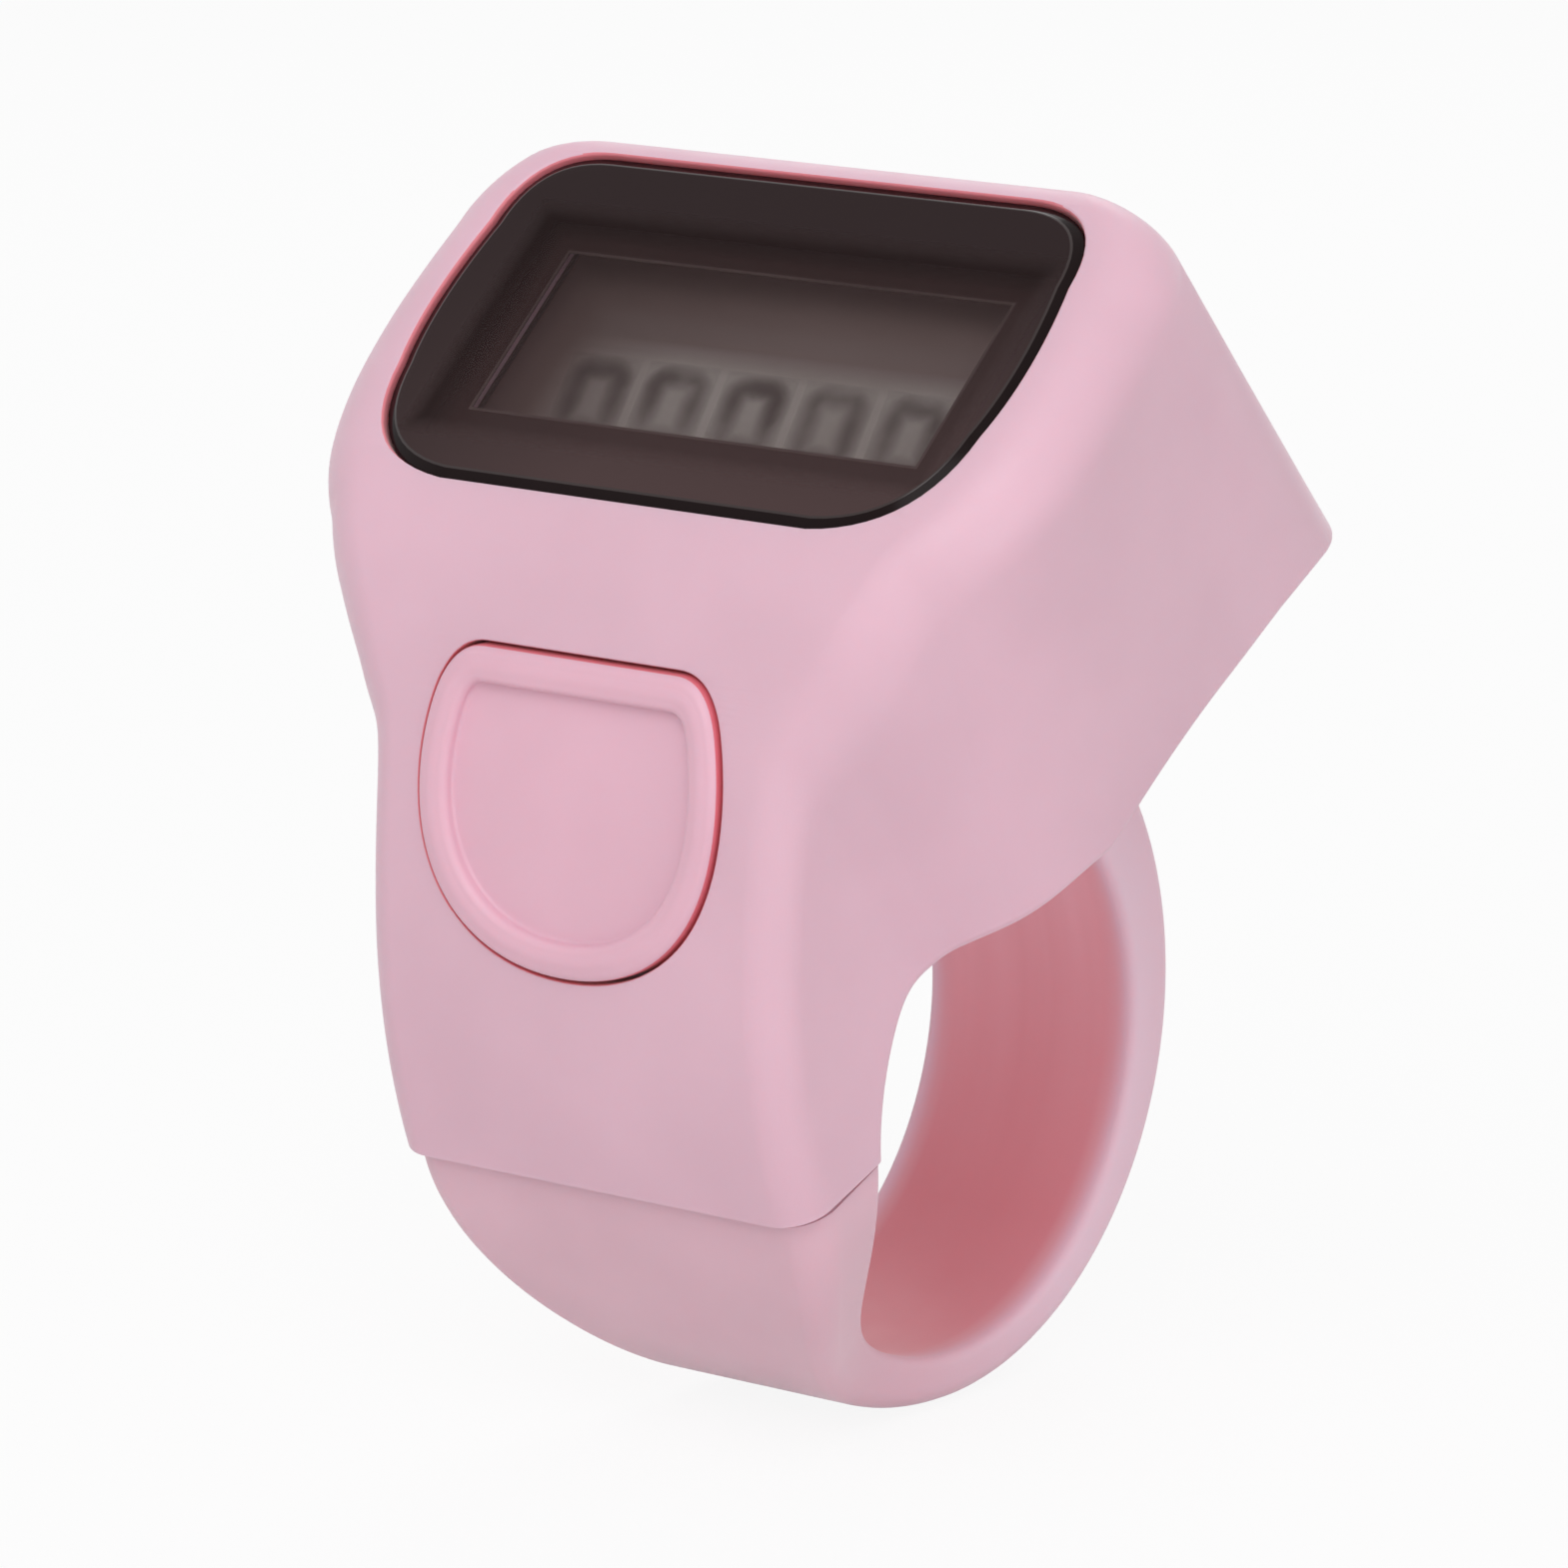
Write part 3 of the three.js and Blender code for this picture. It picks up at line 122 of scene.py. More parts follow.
WINDOW_BACK_MARGIN = 1.3

BUTTON_BOTTOM = 5.3
BUTTON_TOP_MARGIN = 4.25
BUTTON_HALF_WIDTH = 6.3
BUTTON_TOP_HALF_WIDTH = 6.0
BUTTON_CORNER = 2.0
BUTTON_SHOULDER_SHARE = 0.59
SHIELD_RISE = 0.36
SHIELD_SWEEP = 0.6
BUTTON_GAP = 0.12
BUTTON_PROUD = 0.3
BUTTON_RIM = 1.3
BUTTON_PAD_DEPTH = 0.5
BUTTON_FLANGE = 0.5
BUTTON_FLANGE_THICKNESS = 0.55
BUTTON_HOLLOW = 1.0
HOLE_LIP = 0.08
BEAD_OUTER_RADIUS = 0.34
BEAD_INNER_RADIUS = 0.3
BEAD_FOOT_RADIUS = 0.14
BEAD_CROWN = 0.05
PAD_CORNER = 0.85
PAD_DISH = 0.12
PAD_SHARES = (0.93, 0.84, 0.72, 0.58, 0.42, 0.26, 0.1)

BAND_CENTRE_BACK = -0.29
BAND_CENTRE_HEIGHT = 1.03
BAND_OUTER_RADIUS = 12.55
BAND_FLARE = 1.18
BAND_SEAM_HALF_WIDTH = 8.6
BAND_BACK_HALF_WIDTH = 4.45
BAND_EDGE_RADIUS = 0.7
BAND_SEAM_EDGE_RADIUS = 1.5
BAND_INNER_EDGE_RADIUS = 0.35
BAND_TAPER_SPAN = math.radians(66)
BAND_FLARE_SPAN = math.radians(83)
BAND_END_ANGLE = math.radians(106)
BAND_WALL_FADE = 1.3
BAND_SECTION = (9, 6, 9)
BAND_RINGS = 170
SEAM_LEAN = math.radians(6)
STATION_EVENING = 0.065
LIP_GAP = 0.2
LIP_REACH = 0.6

DIGIT_FRONT = 8.8
DIGIT_OFFSET = 0.75
DIGIT_WELD = 0.001
DIGIT_GRID = (29, 37)

# Counts and shares of the meshes, and the angles in degrees from which their edges stay sharp
STATION_COUNT, CORNER_COUNT, SECTION_STEPS = 120, 22, (14, 6)
CAVITY_COUNT, CAVITY_STEPS = 60, (8, 4)
EVENING_COUNT = 9
ROOF_START, ROOF_COUNT = 0.4, 40
NORMAL_WEIGHT = 80
SHARP, BUTTON_SHARP, LENS_SHARP, COVER_SHARP = 32, 50, 20, 30

COS, SIN = math.cos(RIM_TILT), math.sin(RIM_TILT)


# Points and lines in the side plane (Y, Z)
def head_point(slope, height):
    return np.array([slope * COS - height * SIN, slope * SIN + height * COS])


class Line:
    """A bent line that is read by its share of length."""

    def __init__(self, points):
        self.points = np.array(points, float)
        steps = np.linalg.norm(np.diff(self.points, axis=0), axis=1)
        self.run = np.concatenate([[0.0], np.cumsum(steps)])

    def at(self, share):
        distance = share * self.run[-1]
        return np.array([np.interp(distance, self.run, self.points[:, i]) for i in (0, 1)])

    def along(self, share):
        step = 0.002
        run = self.at(min(share + step, 1)) - self.at(max(share - step, 0))
        return run / np.linalg.norm(run)


def arc(centre, radius, start, end, steps=160):
    turns = np.linspace(start, end, steps)
    return [np.array([centre[0] + radius * math.cos(a), centre[1] + radius * math.sin(a)]) for a in turns]


def bend(start, pull, end, steps=80):
    t = np.linspace(0, 1, steps)[:, None]
    return list((1 - t) ** 2 * start + 2 * t * (1 - t) * pull + t ** 2 * end)


def quarter(steps):
    """1 less the cosine and 1 less the sine of the angles along a quarter turn."""
    angles = [math.pi / 2 * i / steps for i in range(steps + 1)]
    return [(1 - math.cos(angle), 1 - math.sin(angle)) for angle in angles]


def front_depth(height):
    radius = LOWER_FRONT_RADIUS if height < FRONT_CROWN_HEIGHT else UPPER_FRONT_RADIUS
    return -FRONT_REACH + radius - math.sqrt(radius ** 2 - (height - FRONT_CROWN_HEIGHT) ** 2)


def rim_corner(inset=0.0, rim_inset=0.0):
    """Slope at which the front face meets the rim."""
    radius = UPPER_FRONT_RADIUS - inset
    centre = np.array([-FRONT_REACH + UPPER_FRONT_RADIUS, FRONT_CROWN_HEIGHT])
    start = head_point(0, RIM_HEIGHT - rim_inset) - centre
    half = start @ [COS, SIN]
    return -half - math.sqrt(half ** 2 - start @ start + radius ** 2)


RIM_FRONT = rim_corner()
RIM_BACK = RIM_FRONT + RIM_LENGTH
LENS_HALF_WIDTH = HEAD_HALF_WIDTH - LENS_SIDE_MARGIN
LENS_FRONT = RIM_FRONT + LENS_FRONT_MARGIN
LENS_BACK = RIM_BACK - LENS_BACK_MARGIN
VIEW_HALF_WIDTH = LENS_HALF_WIDTH - VIEW_SIDE_MARGIN
VIEW_FRONT = LENS_FRONT + VIEW_FRONT_MARGIN
VIEW_BACK = LENS_BACK - VIEW_BACK_MARGIN
LENS_TOP = RIM_HEIGHT - LENS_SINK
LENS_BOTTOM = LENS_TOP - LENS_THICKNESS
LENS_FALL = LENS_EDGE * LENS_BEVEL_DROP / LENS_BEVEL
PRINT_TOP = LENS_BOTTOM - PRINT_LIFT
FILM_TOP = RIM_HEIGHT - RIM_WALL - FIT_GAP - TOUCH_GAP
BUTTON_TOP = head_point(RIM_FRONT, RIM_HEIGHT)[1] - BUTTON_TOP_MARGIN
BUTTON_SHOULDER = BUTTON_BOTTOM + (BUTTON_TOP - BUTTON_BOTTOM) * BUTTON_SHOULDER_SHARE


def outer_line(inset, rim_inset):
    """Front and rim line, and the share of its length at the corner between them."""
    upper = UPPER_FRONT_RADIUS - inset
    lower = LOWER_FRONT_RADIUS - inset
    middle = FRONT_CROWN_HEIGHT
    corner_slope = rim_corner(inset, rim_inset)
    corner = head_point(corner_slope, RIM_HEIGHT - rim_inset)
    blend = max(RIM_FRONT_BLEND - inset, LEAST_RADIUS)
    corner_angle = math.pi - math.asin((corner[1] - middle) / upper)
    seam_angle = math.pi + math.asin((middle - SEAM_HEIGHT) / lower)
    points = arc((LOWER_FRONT_RADIUS - FRONT_REACH, middle), lower, seam_angle, math.pi)
    points += arc((UPPER_FRONT_RADIUS - FRONT_REACH, middle), upper, math.pi, corner_angle + blend / upper)[1:]
    front_end = len(points) - 1
    points += bend(points[-1], corner, head_point(corner_slope + blend, RIM_HEIGHT - rim_inset))[1:]
    blend_end = len(points) - 1
    line = Line(points + [head_point(RIM_BACK - BACK_CORNER_RADIUS, RIM_HEIGHT - rim_inset)])
    return line, (line.run[front_end] + line.run[blend_end]) / 2 / line.run[-1]


def inner_line(lift):
    """The line of the finger hole and the underside, from the seam to the back corner."""
    corner = HOLE_RADIUS * np.array([math.cos(ROOF_ANGLE), math.sin(ROOF_ANGLE)]) + ROOF_RUN
    back = head_point(RIM_BACK, UNDERSIDE_BACK_HEIGHT)
    run = (back - corner) / np.linalg.norm(back - corner)
    normal = lift * np.array([-run[1], run[0]])
    end = back - run * BACK_CORNER_RADIUS / (run @ [COS, SIN])
    points = arc((0, 0), HOLE_RADIUS + lift, SEAM_INNER_ANGLE, ROOF_ANGLE)
    points += bend(points[-1], corner + normal, corner + run * UNDERSIDE_RUN + normal)[1:]
    return Line(points + [end + normal])


# Meshes
def mesh_of(name, vertices, faces):
    mesh = bpy.data.meshes.new(name)
    mesh.from_pydata([tuple(v) for v in vertices], [], faces)
    mesh.update()
    return mesh


def skin(name, rings):
    """A closed skin over rings of points in millimetres, facing out."""
    count, last = len(rings[0]), len(rings) - 1
    rings = np.array(rings) * MM
    vertices = list(rings.reshape(-1, 3))

    def edges(ring):
        return [(ring * count + i, ring * count + (i + 1) % count) for i in range(count)]

    faces = [(a, b, b + count, a + count) for ring in range(last) for a, b in edges(ring)]
    for ring in (0, last):
        hub = len(vertices)
        vertices.append(rings[ring].mean(axis=0))
        faces += [(b, a, hub) if ring == 0 else (a, b, hub) for a, b in edges(ring)]
    return mended(mesh_of(name, vertices, faces))


def mended(mesh, weld=WELD * MM):
    """A closed mesh, with its points welded and its faces turned outwards."""
    shape = bmesh.new()
    shape.from_mesh(mesh)
    bmesh.ops.remove_doubles(shape, verts=shape.verts, dist=weld)
    bmesh.ops.recalc_face_normals(shape, faces=shape.faces)
    if shape.calc_volume(signed=True) < 0:
        bmesh.ops.reverse_faces(shape, faces=shape.faces)
    shape.to_mesh(mesh)
    shape.free()
    return mesh


def placed(name, mesh):
    piece = bpy.data.objects.new(name, mesh)
    bpy.context.scene.collection.objects.link(piece)
    return piece


def plain_mesh(piece, name):
    """The mesh that a piece's modifiers make, without the piece."""
    bpy.context.view_layer.update()
    evaluated = piece.evaluated_get(bpy.context.evaluated_depsgraph_get())
    mesh = bpy.data.meshes.new_from_object(evaluated)
    mesh.name = name
    bpy.data.objects.remove(piece)
    return mesh


def cut(name, mesh, others):
    """A mesh less other closed meshes."""
    body = placed(name, mesh)
    tools = [placed(name + "_tool", other) for other in others]
    for tool in tools:
        step = body.modifiers.new("step", "BOOLEAN")
        step.operation = "DIFFERENCE"
        step.solver = "EXACT"
        step.object = tool
    result = plain_mesh(body, name)
    for tool in tools:
        bpy.data.objects.remove(tool)
    return result


def weighted(name, mesh, angle=SHARP):
    """A piece with smooth faces, and edges that stay sharp from an angle in degrees."""
    mesh.polygons.foreach_set("use_smooth", [True] * len(mesh.polygons))
    mesh.set_sharp_from_angle(angle=math.radians(angle))
    piece = placed(name, mesh)
    weigh = piece.modifiers.new("weigh", "WEIGHTED_NORMAL")
    weigh.keep_sharp = True
    weigh.weight = NORMAL_WEIGHT
    return placed(name, plain_mesh(piece, name))


def in_head(points):
    """Points given across, up the slope and square to the rim, in the part's frame."""
    points = np.array(points, float)
    turned = points.copy()
    turned[..., 1] = points[..., 1] * COS - points[..., 2] * SIN
    turned[..., 2] = points[..., 1] * SIN + points[..., 2] * COS
    return turned


def head_box(name, half, front, back, low, high):
    rings = [[(-half, front, n), (half, front, n), (half, back, n), (-half, back, n)] for n in (low, high)]
    return skin(name, in_head(rings))


# Shell stations: way along the outer line (1 at the rim's corner), along the inner line, and widening
STATIONS = np.array([
    [0, 0, 0],
    [0.37, 0.12, 0],
    [0.66, 0.22, 0.01],
    [0.73, 0.265, 0.135],
    [0.8, 0.295, 0.26],
    [0.95, 0.335, 0.56],
    [1.28, 0.42, 0.91],
    [1.65, 0.68, 1],
    [2, 1, 0.94],
])


def table_share(column, t):
    """Rise through a column of the table, with no overshoot."""
    values = STATIONS[:, column]
    last = len(values) - 1
    rises = np.diff(values)
    at = min(int(t * last), last - 1)

    def slope(i):
        if i in (0, last):
            return rises[min(i, last - 1)]
        before, after = rises[i - 1], rises[i]
        return 0.0 if before * after <= 0 else 2 * before * after / (before + after)

    f, rise = t * last - at, rises[at]
    start, end = slope(at), slope(at + 1)
    return values[at] + start * f + (3 * rise - 2 * start - end) * f ** 2 + (start + end - 2 * rise) * f ** 3


def station_share(column, t):
    """The same rise, evened over a short way to both sides."""
    reach = min(STATION_EVENING, t, 1 - t)
    return np.mean([table_share(column, t + reach * step) for step in np.linspace(-1, 1, EVENING_COUNT)])


def section(outer, inner, outer_half, inner_half, outer_radius, outer_depth, inner_radius, steps):
    """A rounded rectangle that hangs from its outer point down to its inner point."""
    length = np.linalg.norm(inner - outer)
    down = (inner - outer) / length
    outer_steps, inner_steps = steps

    def half_at(depth):
        return outer_half + (inner_half - outer_half) * depth / length

    side = []
    for down_share, in_share in quarter(outer_steps):
        depth = outer_depth * down_share
        side.append((half_at(depth) - outer_radius * in_share, depth))
    for in_share, up_share in quarter(inner_steps):
        depth = length - inner_radius * up_share
        side.append((half_at(depth) - inner_radius * in_share, depth))
    full = side + [(-half, depth) for half, depth in reversed(side)]
    return [(half, *(outer + down * depth)) for half, depth in full]


def corner_drop(reach, radius):
    radius = max(radius, LEAST_RADIUS)
    return radius - math.sqrt(radius ** 2 - (radius - reach) ** 2) if reach < radius else 0.0


def shell_rings(inset=0.0, rim_inset=0.0, lift=0.0, stations=STATION_COUNT, steps=SECTION_STEPS):
    """The shell's outside, or its cavity when it is inset."""
    (outer, corner_share), inner = outer_line(inset, rim_inset), inner_line(lift)
    inner_radius = max(INNER_EDGE_RADIUS - inset, LEAST_RADIUS)
    rings = []

    def halves(share):
        return (SKIRT_HALF_WIDTH + (HEAD_HALF_WIDTH - SKIRT_HALF_WIDTH) * share - inset,
                SKIRT_HALF_WIDTH + (FOOT_HALF_WIDTH - SKIRT_HALF_WIDTH) * share - inset)

    def edge(share):
        return max(SKIRT_EDGE_RADIUS + (HEAD_EDGE_RADIUS - SKIRT_EDGE_RADIUS) * share - inset, LEAST_RADIUS)

    for i in range(stations):
        t = i / (stations - 1)
        share = station_share(2, t)
        past = station_share(0, t)
        outer_share = min(past, 1) * corner_share + max(past - 1, 0) * (1 - corner_share)
        top, foot = outer.at(outer_share), inner.at(station_share(1, t))
        down = (foot - top) / np.linalg.norm(foot - top)
        tangent = outer.along(outer_share)
        crossing = abs(tangent[0] * down[1] - tangent[1] * down[0])
        outer_half, inner_half = halves(share)
        rings.append(section(top, foot, outer_half, inner_half, edge(share), edge(share) / crossing,
                             inner_radius, steps))
    share = station_share(2, 1)
    outer_half, inner_half = halves(share)
    start, run = inner.at(1), inner.along(1)
    slope_rate = run @ [COS, SIN]
    start_slope = start @ [COS, SIN]
    for _, share_left in quarter(CORNER_COUNT)[1:]:
        reach = (BACK_CORNER_RADIUS - inset) * share_left
        slope = RIM_BACK - inset - reach
        dip = corner_drop(reach, BACK_EDGE_RADIUS - inset)
        top = head_point(slope, RIM_HEIGHT - rim_inset - dip)
        foot = start + run * (slope - start_slope) / slope_rate
        rings.append(section(top, foot, outer_half - corner_drop(reach, BACK_CORNER_RADIUS - inset),
                             inner_half - corner_drop(reach, UNDERSIDE_CORNER_RADIUS - inset),
                             edge(share), edge(share), inner_radius, steps))
    return rings


def pushed_out(rings):
    """The same rings with one more past the seam, so that a cut opens it."""
    rings = np.array(rings)
    step = rings[0] - rings[1]
    step *= OVERRUN / np.linalg.norm(step, axis=1, keepdims=True)
    return np.concatenate([[rings[0] + step], rings])


# Outlines
def mirrored(*runs):
    """A closed outline from the runs of its right half, a point on the middle line, and the mirror image."""
    right = [runs[0][0]] + [point for run in runs for point in run[1:]]
    left = [point * [-1, 1] for point in reversed(right)]
    return right + [right[-1] * [0, 1]] + (left[:-1] if right[0][0] == 0 else left)


def quadratic(a, b, c, steps=14):
    return bend(np.array(a), np.array(b), np.array(c), steps)


def cubic(a, b, c, d, steps=30):
    t = np.linspace(0, 1, steps)[:, None]
    a, b, c, d = map(np.array, (a, b, c, d))
    return list((1 - t) ** 3 * a + 3 * t * (1 - t) ** 2 * b + 3 * t ** 2 * (1 - t) * c + t ** 3 * d)


def lens_outline(inset):
    half = LENS_HALF_WIDTH - inset
    end = half - LENS_END_NARROWING
    front, back = LENS_FRONT + inset, LENS_BACK - inset
    near = max(LENS_FRONT_CORNER - inset, LEAST_RADIUS)
    far = max(LENS_BACK_CORNER - inset, LEAST_RADIUS)
    middle = (front + back) / 2
    pull = LENS_CORNER_PULL * near
    return mirrored(
        quadratic((end - near, front), (end - pull, front + pull), (end, front + near)),
        quadratic((end, front + near), (half + LENS_END_NARROWING, middle), (end, back - far)),
        quadratic((end, back - far), (end, back), (end - far, back)),
    )


def shield_outline(inset):
    half = BUTTON_HALF_WIDTH - inset
    top_half = BUTTON_TOP_HALF_WIDTH - inset
    top, bottom = BUTTON_TOP - inset, BUTTON_BOTTOM + inset
    radius = max(BUTTON_CORNER - inset, PAD_CORNER)
    rise = (BUTTON_SHOULDER - bottom) * SHIELD_RISE
    lean = (half - top_half) / ((top - radius - BUTTON_SHOULDER) / 2) * radius
    return mirrored(
        cubic((0, bottom), (half * SHIELD_SWEEP, bottom), (half, bottom + rise), (half, BUTTON_SHOULDER)),
        quadratic((half, BUTTON_SHOULDER), (half, (BUTTON_SHOULDER + top - radius) / 2), (top_half, top - radius)),
        quadratic((top_half, top - radius), (top_half - lean, top), (top_half - radius, top)),
    )


def lens_plate(name, levels):
    """A plate over the rim plane, from levels of height and inset."""
    rings = [[(x, u, height) for x, u in lens_outline(inset)] for height, inset in levels]
    return skin(name, in_head(rings))


def front_rings(levels):
    """Rings that follow the front face, from levels of height above it and inset."""
    return [[(x, front_depth(z) - height, z) for x, z in shield_outline(inset)] for height, inset in levels]


def rounded(radius, height, inset, fold, steps=6):
    """Levels that round an edge: fold 1 turns in at the top of an outside wall, -1 opens a hole's mouth."""
    return [(height - radius * down, inset + fold * radius * across) for across, down in quarter(steps)]


# Housing: one moulded shell, open below, with the lens recess and the button's hole
def housing():
    recess_floor = LENS_BOTTOM - TAPE_THICKNESS - 2 * TOUCH_GAP
    outside = skin("housing", shell_rings())
    cavity = skin("cavity", pushed_out(shell_rings(WALL, RIM_WALL, -OVERRUN, CAVITY_COUNT, CAVITY_STEPS)))
    recess = lens_plate("recess", [(recess_floor, -LENS_GAP)]
                        + rounded(RECESS_LIP, RIM_HEIGHT, -LENS_GAP, -1)
                        + [(RIM_HEIGHT + OVERRUN, -LENS_GAP - RECESS_LIP)])
    window_half = LENS_HALF_WIDTH - WINDOW_SIDE_MARGIN
    window = head_box("window", window_half, LENS_FRONT + WINDOW_FRONT_MARGIN, LENS_BACK - WINDOW_BACK_MARGIN,
                      RIM_HEIGHT - RIM_WALL - OVERRUN, recess_floor + OVERRUN / 2)
    hole = skin("button_hole", front_rings([(-WALL - OVERRUN, 0)] + rounded(HOLE_LIP, 0, 0, -1)
                                           + [(OVERRUN, -HOLE_LIP)]))
    return weighted("housing", cut("housing", outside, [cavity, recess, window, hole]))


def mark_painted_recess_shade(piece, inside):
    """Marks the faces that the test puts in a recess, where the piece's finish paints shade."""
    mark = piece.data.attributes.new("recess", "FLOAT", "FACE")
    for face, value in zip(piece.data.polygons, mark.data):
        value.value = float(inside(face.center / MM, face.normal))
    return piece


def round_lens(point, normal):
    """The wall round the lens, below the rim."""
    across, height = point.x, point.z * COS - point.y * SIN
    off = (LENS_FRONT + LENS_BACK) / 2 - (point.y * COS + point.z * SIN)
    inward = normal @ Vector((-across, off * COS, off * SIN)) > 0
    upright = abs(normal @ Vector((0, -SIN, COS))) < RECESS_UPRIGHT
    return upright and inward and LENS_BOTTOM - 2 * TAPE_THICKNESS < height < RIM_HEIGHT


def round_button(facing):
    """The wall of the button's hole when facing is -1, and the button's own side in it when it is 1."""
    def inside(point, normal):
        depth = point.y - front_depth(min(max(point.z, BUTTON_BOTTOM), BUTTON_TOP))
        outward = Vector((point.x, 0, point.z - (BUTTON_BOTTOM + BUTTON_TOP) / 2)) @ normal * facing > 0
        beside = BUTTON_BOTTOM - 1 < point.z < BUTTON_TOP + 1 and abs(point.x) < BUTTON_HALF_WIDTH + 1
        return beside and outward and abs(normal.y) < RECESS_UPRIGHT and -BUTTON_PROUD / 4 < depth < WALL
    return inside


# Nodes, of shaders and of grown meshes alike
class Value:
    """What a node gives out. It takes part in sums as a number does."""

    def __init__(self, nodes, socket):
        self.nodes, self.socket = nodes, socket

    def __add__(self, other):
        return self.nodes.sum("ADD", self, other)

    def __sub__(self, other):
        return self.nodes.sum("SUBTRACT", self, other)

    def __rsub__(self, other):
        return self.nodes.sum("SUBTRACT", other, self)

    def __mul__(self, other):
        return self.nodes.sum("MULTIPLY", self, other)

    def __truediv__(self, other):
        return self.nodes.sum("DIVIDE", self, other)

    def __abs__(self):
        return self.nodes.sum("ABSOLUTE", self)


class Nodes:
    """Makes nodes in a tree. Links fill a node's inputs by name or number, settings are its own properties."""

    def __init__(self, tree):
        self.tree = tree

    def node(self, kind, links=None, **settings):
        node = self.tree.nodes.new(kind)
        for key, value in settings.items():
            setattr(node, key, value)
        for key, values in (links or {}).items():
            for value in values if isinstance(values, list) else [values]:
                if isinstance(value, Value):
                    self.tree.links.new(value.socket, node.inputs[key])
                else:
                    node.inputs[key].default_value = value
        return node

    def step(self, kind, links=None, output=0, **settings):
        return Value(self, self.node(kind, links, **settings).outputs[output])

    def sum(self, operation, *values):
        return self.step("ShaderNodeMath", dict(enumerate(values)), operation=operation)

    def sin(self, angle):
        return self.sum("SINE", angle)

    def cos(self, angle):
        return self.sum("COSINE", angle)

    def most(self, *values):
        return self.sum("MAXIMUM", *values)

    def least(self, *values):
        return self.sum("MINIMUM", *values)

    def capped(self, value):
        return self.least(self.most(value, 0), 1)

    def part(self, axis):
        """One coordinate of the place that is being worked out."""
        return self.step("ShaderNodeSeparateXYZ", {0: self.place}, axis)


class Growth(Nodes):
    """A Geometry Nodes tree that grows a mesh, with a named input for each size and, last, for the material."""

    def __init__(self, name, sizes):
        super().__init__(bpy.data.node_groups.new(name, "GeometryNodeTree"))
        self.keys, self.sizes = {}, sizes
        for label, value in sizes.items():
            kind = {int: "NodeSocketInt", float: "NodeSocketFloat"}.get(type(value), "NodeSocketMaterial")
            self.keys[label] = self.tree.interface.new_socket(label, in_out="INPUT", socket_type=kind).identifier
        self.tree.interface.new_socket("Mesh", in_out="OUTPUT", socket_type="NodeSocketGeometry")
        entry = self.node("NodeGroupInput")
        self.values = [Value(self, entry.outputs[label]) for label in sizes]
        self.place = self.step("GeometryNodeInputPosition")

    def vector(self, x=0.0, y=0.0, z=0.0):
        return self.step("ShaderNodeCombineXYZ", {"X": x, "Y": y, "Z": z})

    def marked(self, mesh, name, value):
        return self.step("GeometryNodeStoreNamedAttribute", {"Geometry": mesh, "Name": name, "Value": value},
                         data_type="FLOAT", domain="POINT")

    def mesh(self, name, last):
        """The finished mesh, made real, with the tree's own material."""
        real = self.step("GeometryNodeRealizeInstances", {"Geometry": last})
        dressed = self.step("GeometryNodeSetMaterial", {"Geometry": real, "Material": self.values[-1]})
        self.node("NodeGroupOutput", {"Mesh": dressed})
        carrier = placed(name, bpy.data.meshes.new(name))
        grow = carrier.modifiers.new("grow", "NODES")
        grow.node_group = self.tree
        for label, value in self.sizes.items():
            grow[self.keys[label]] = value
        return plain_mesh(carrier, name)


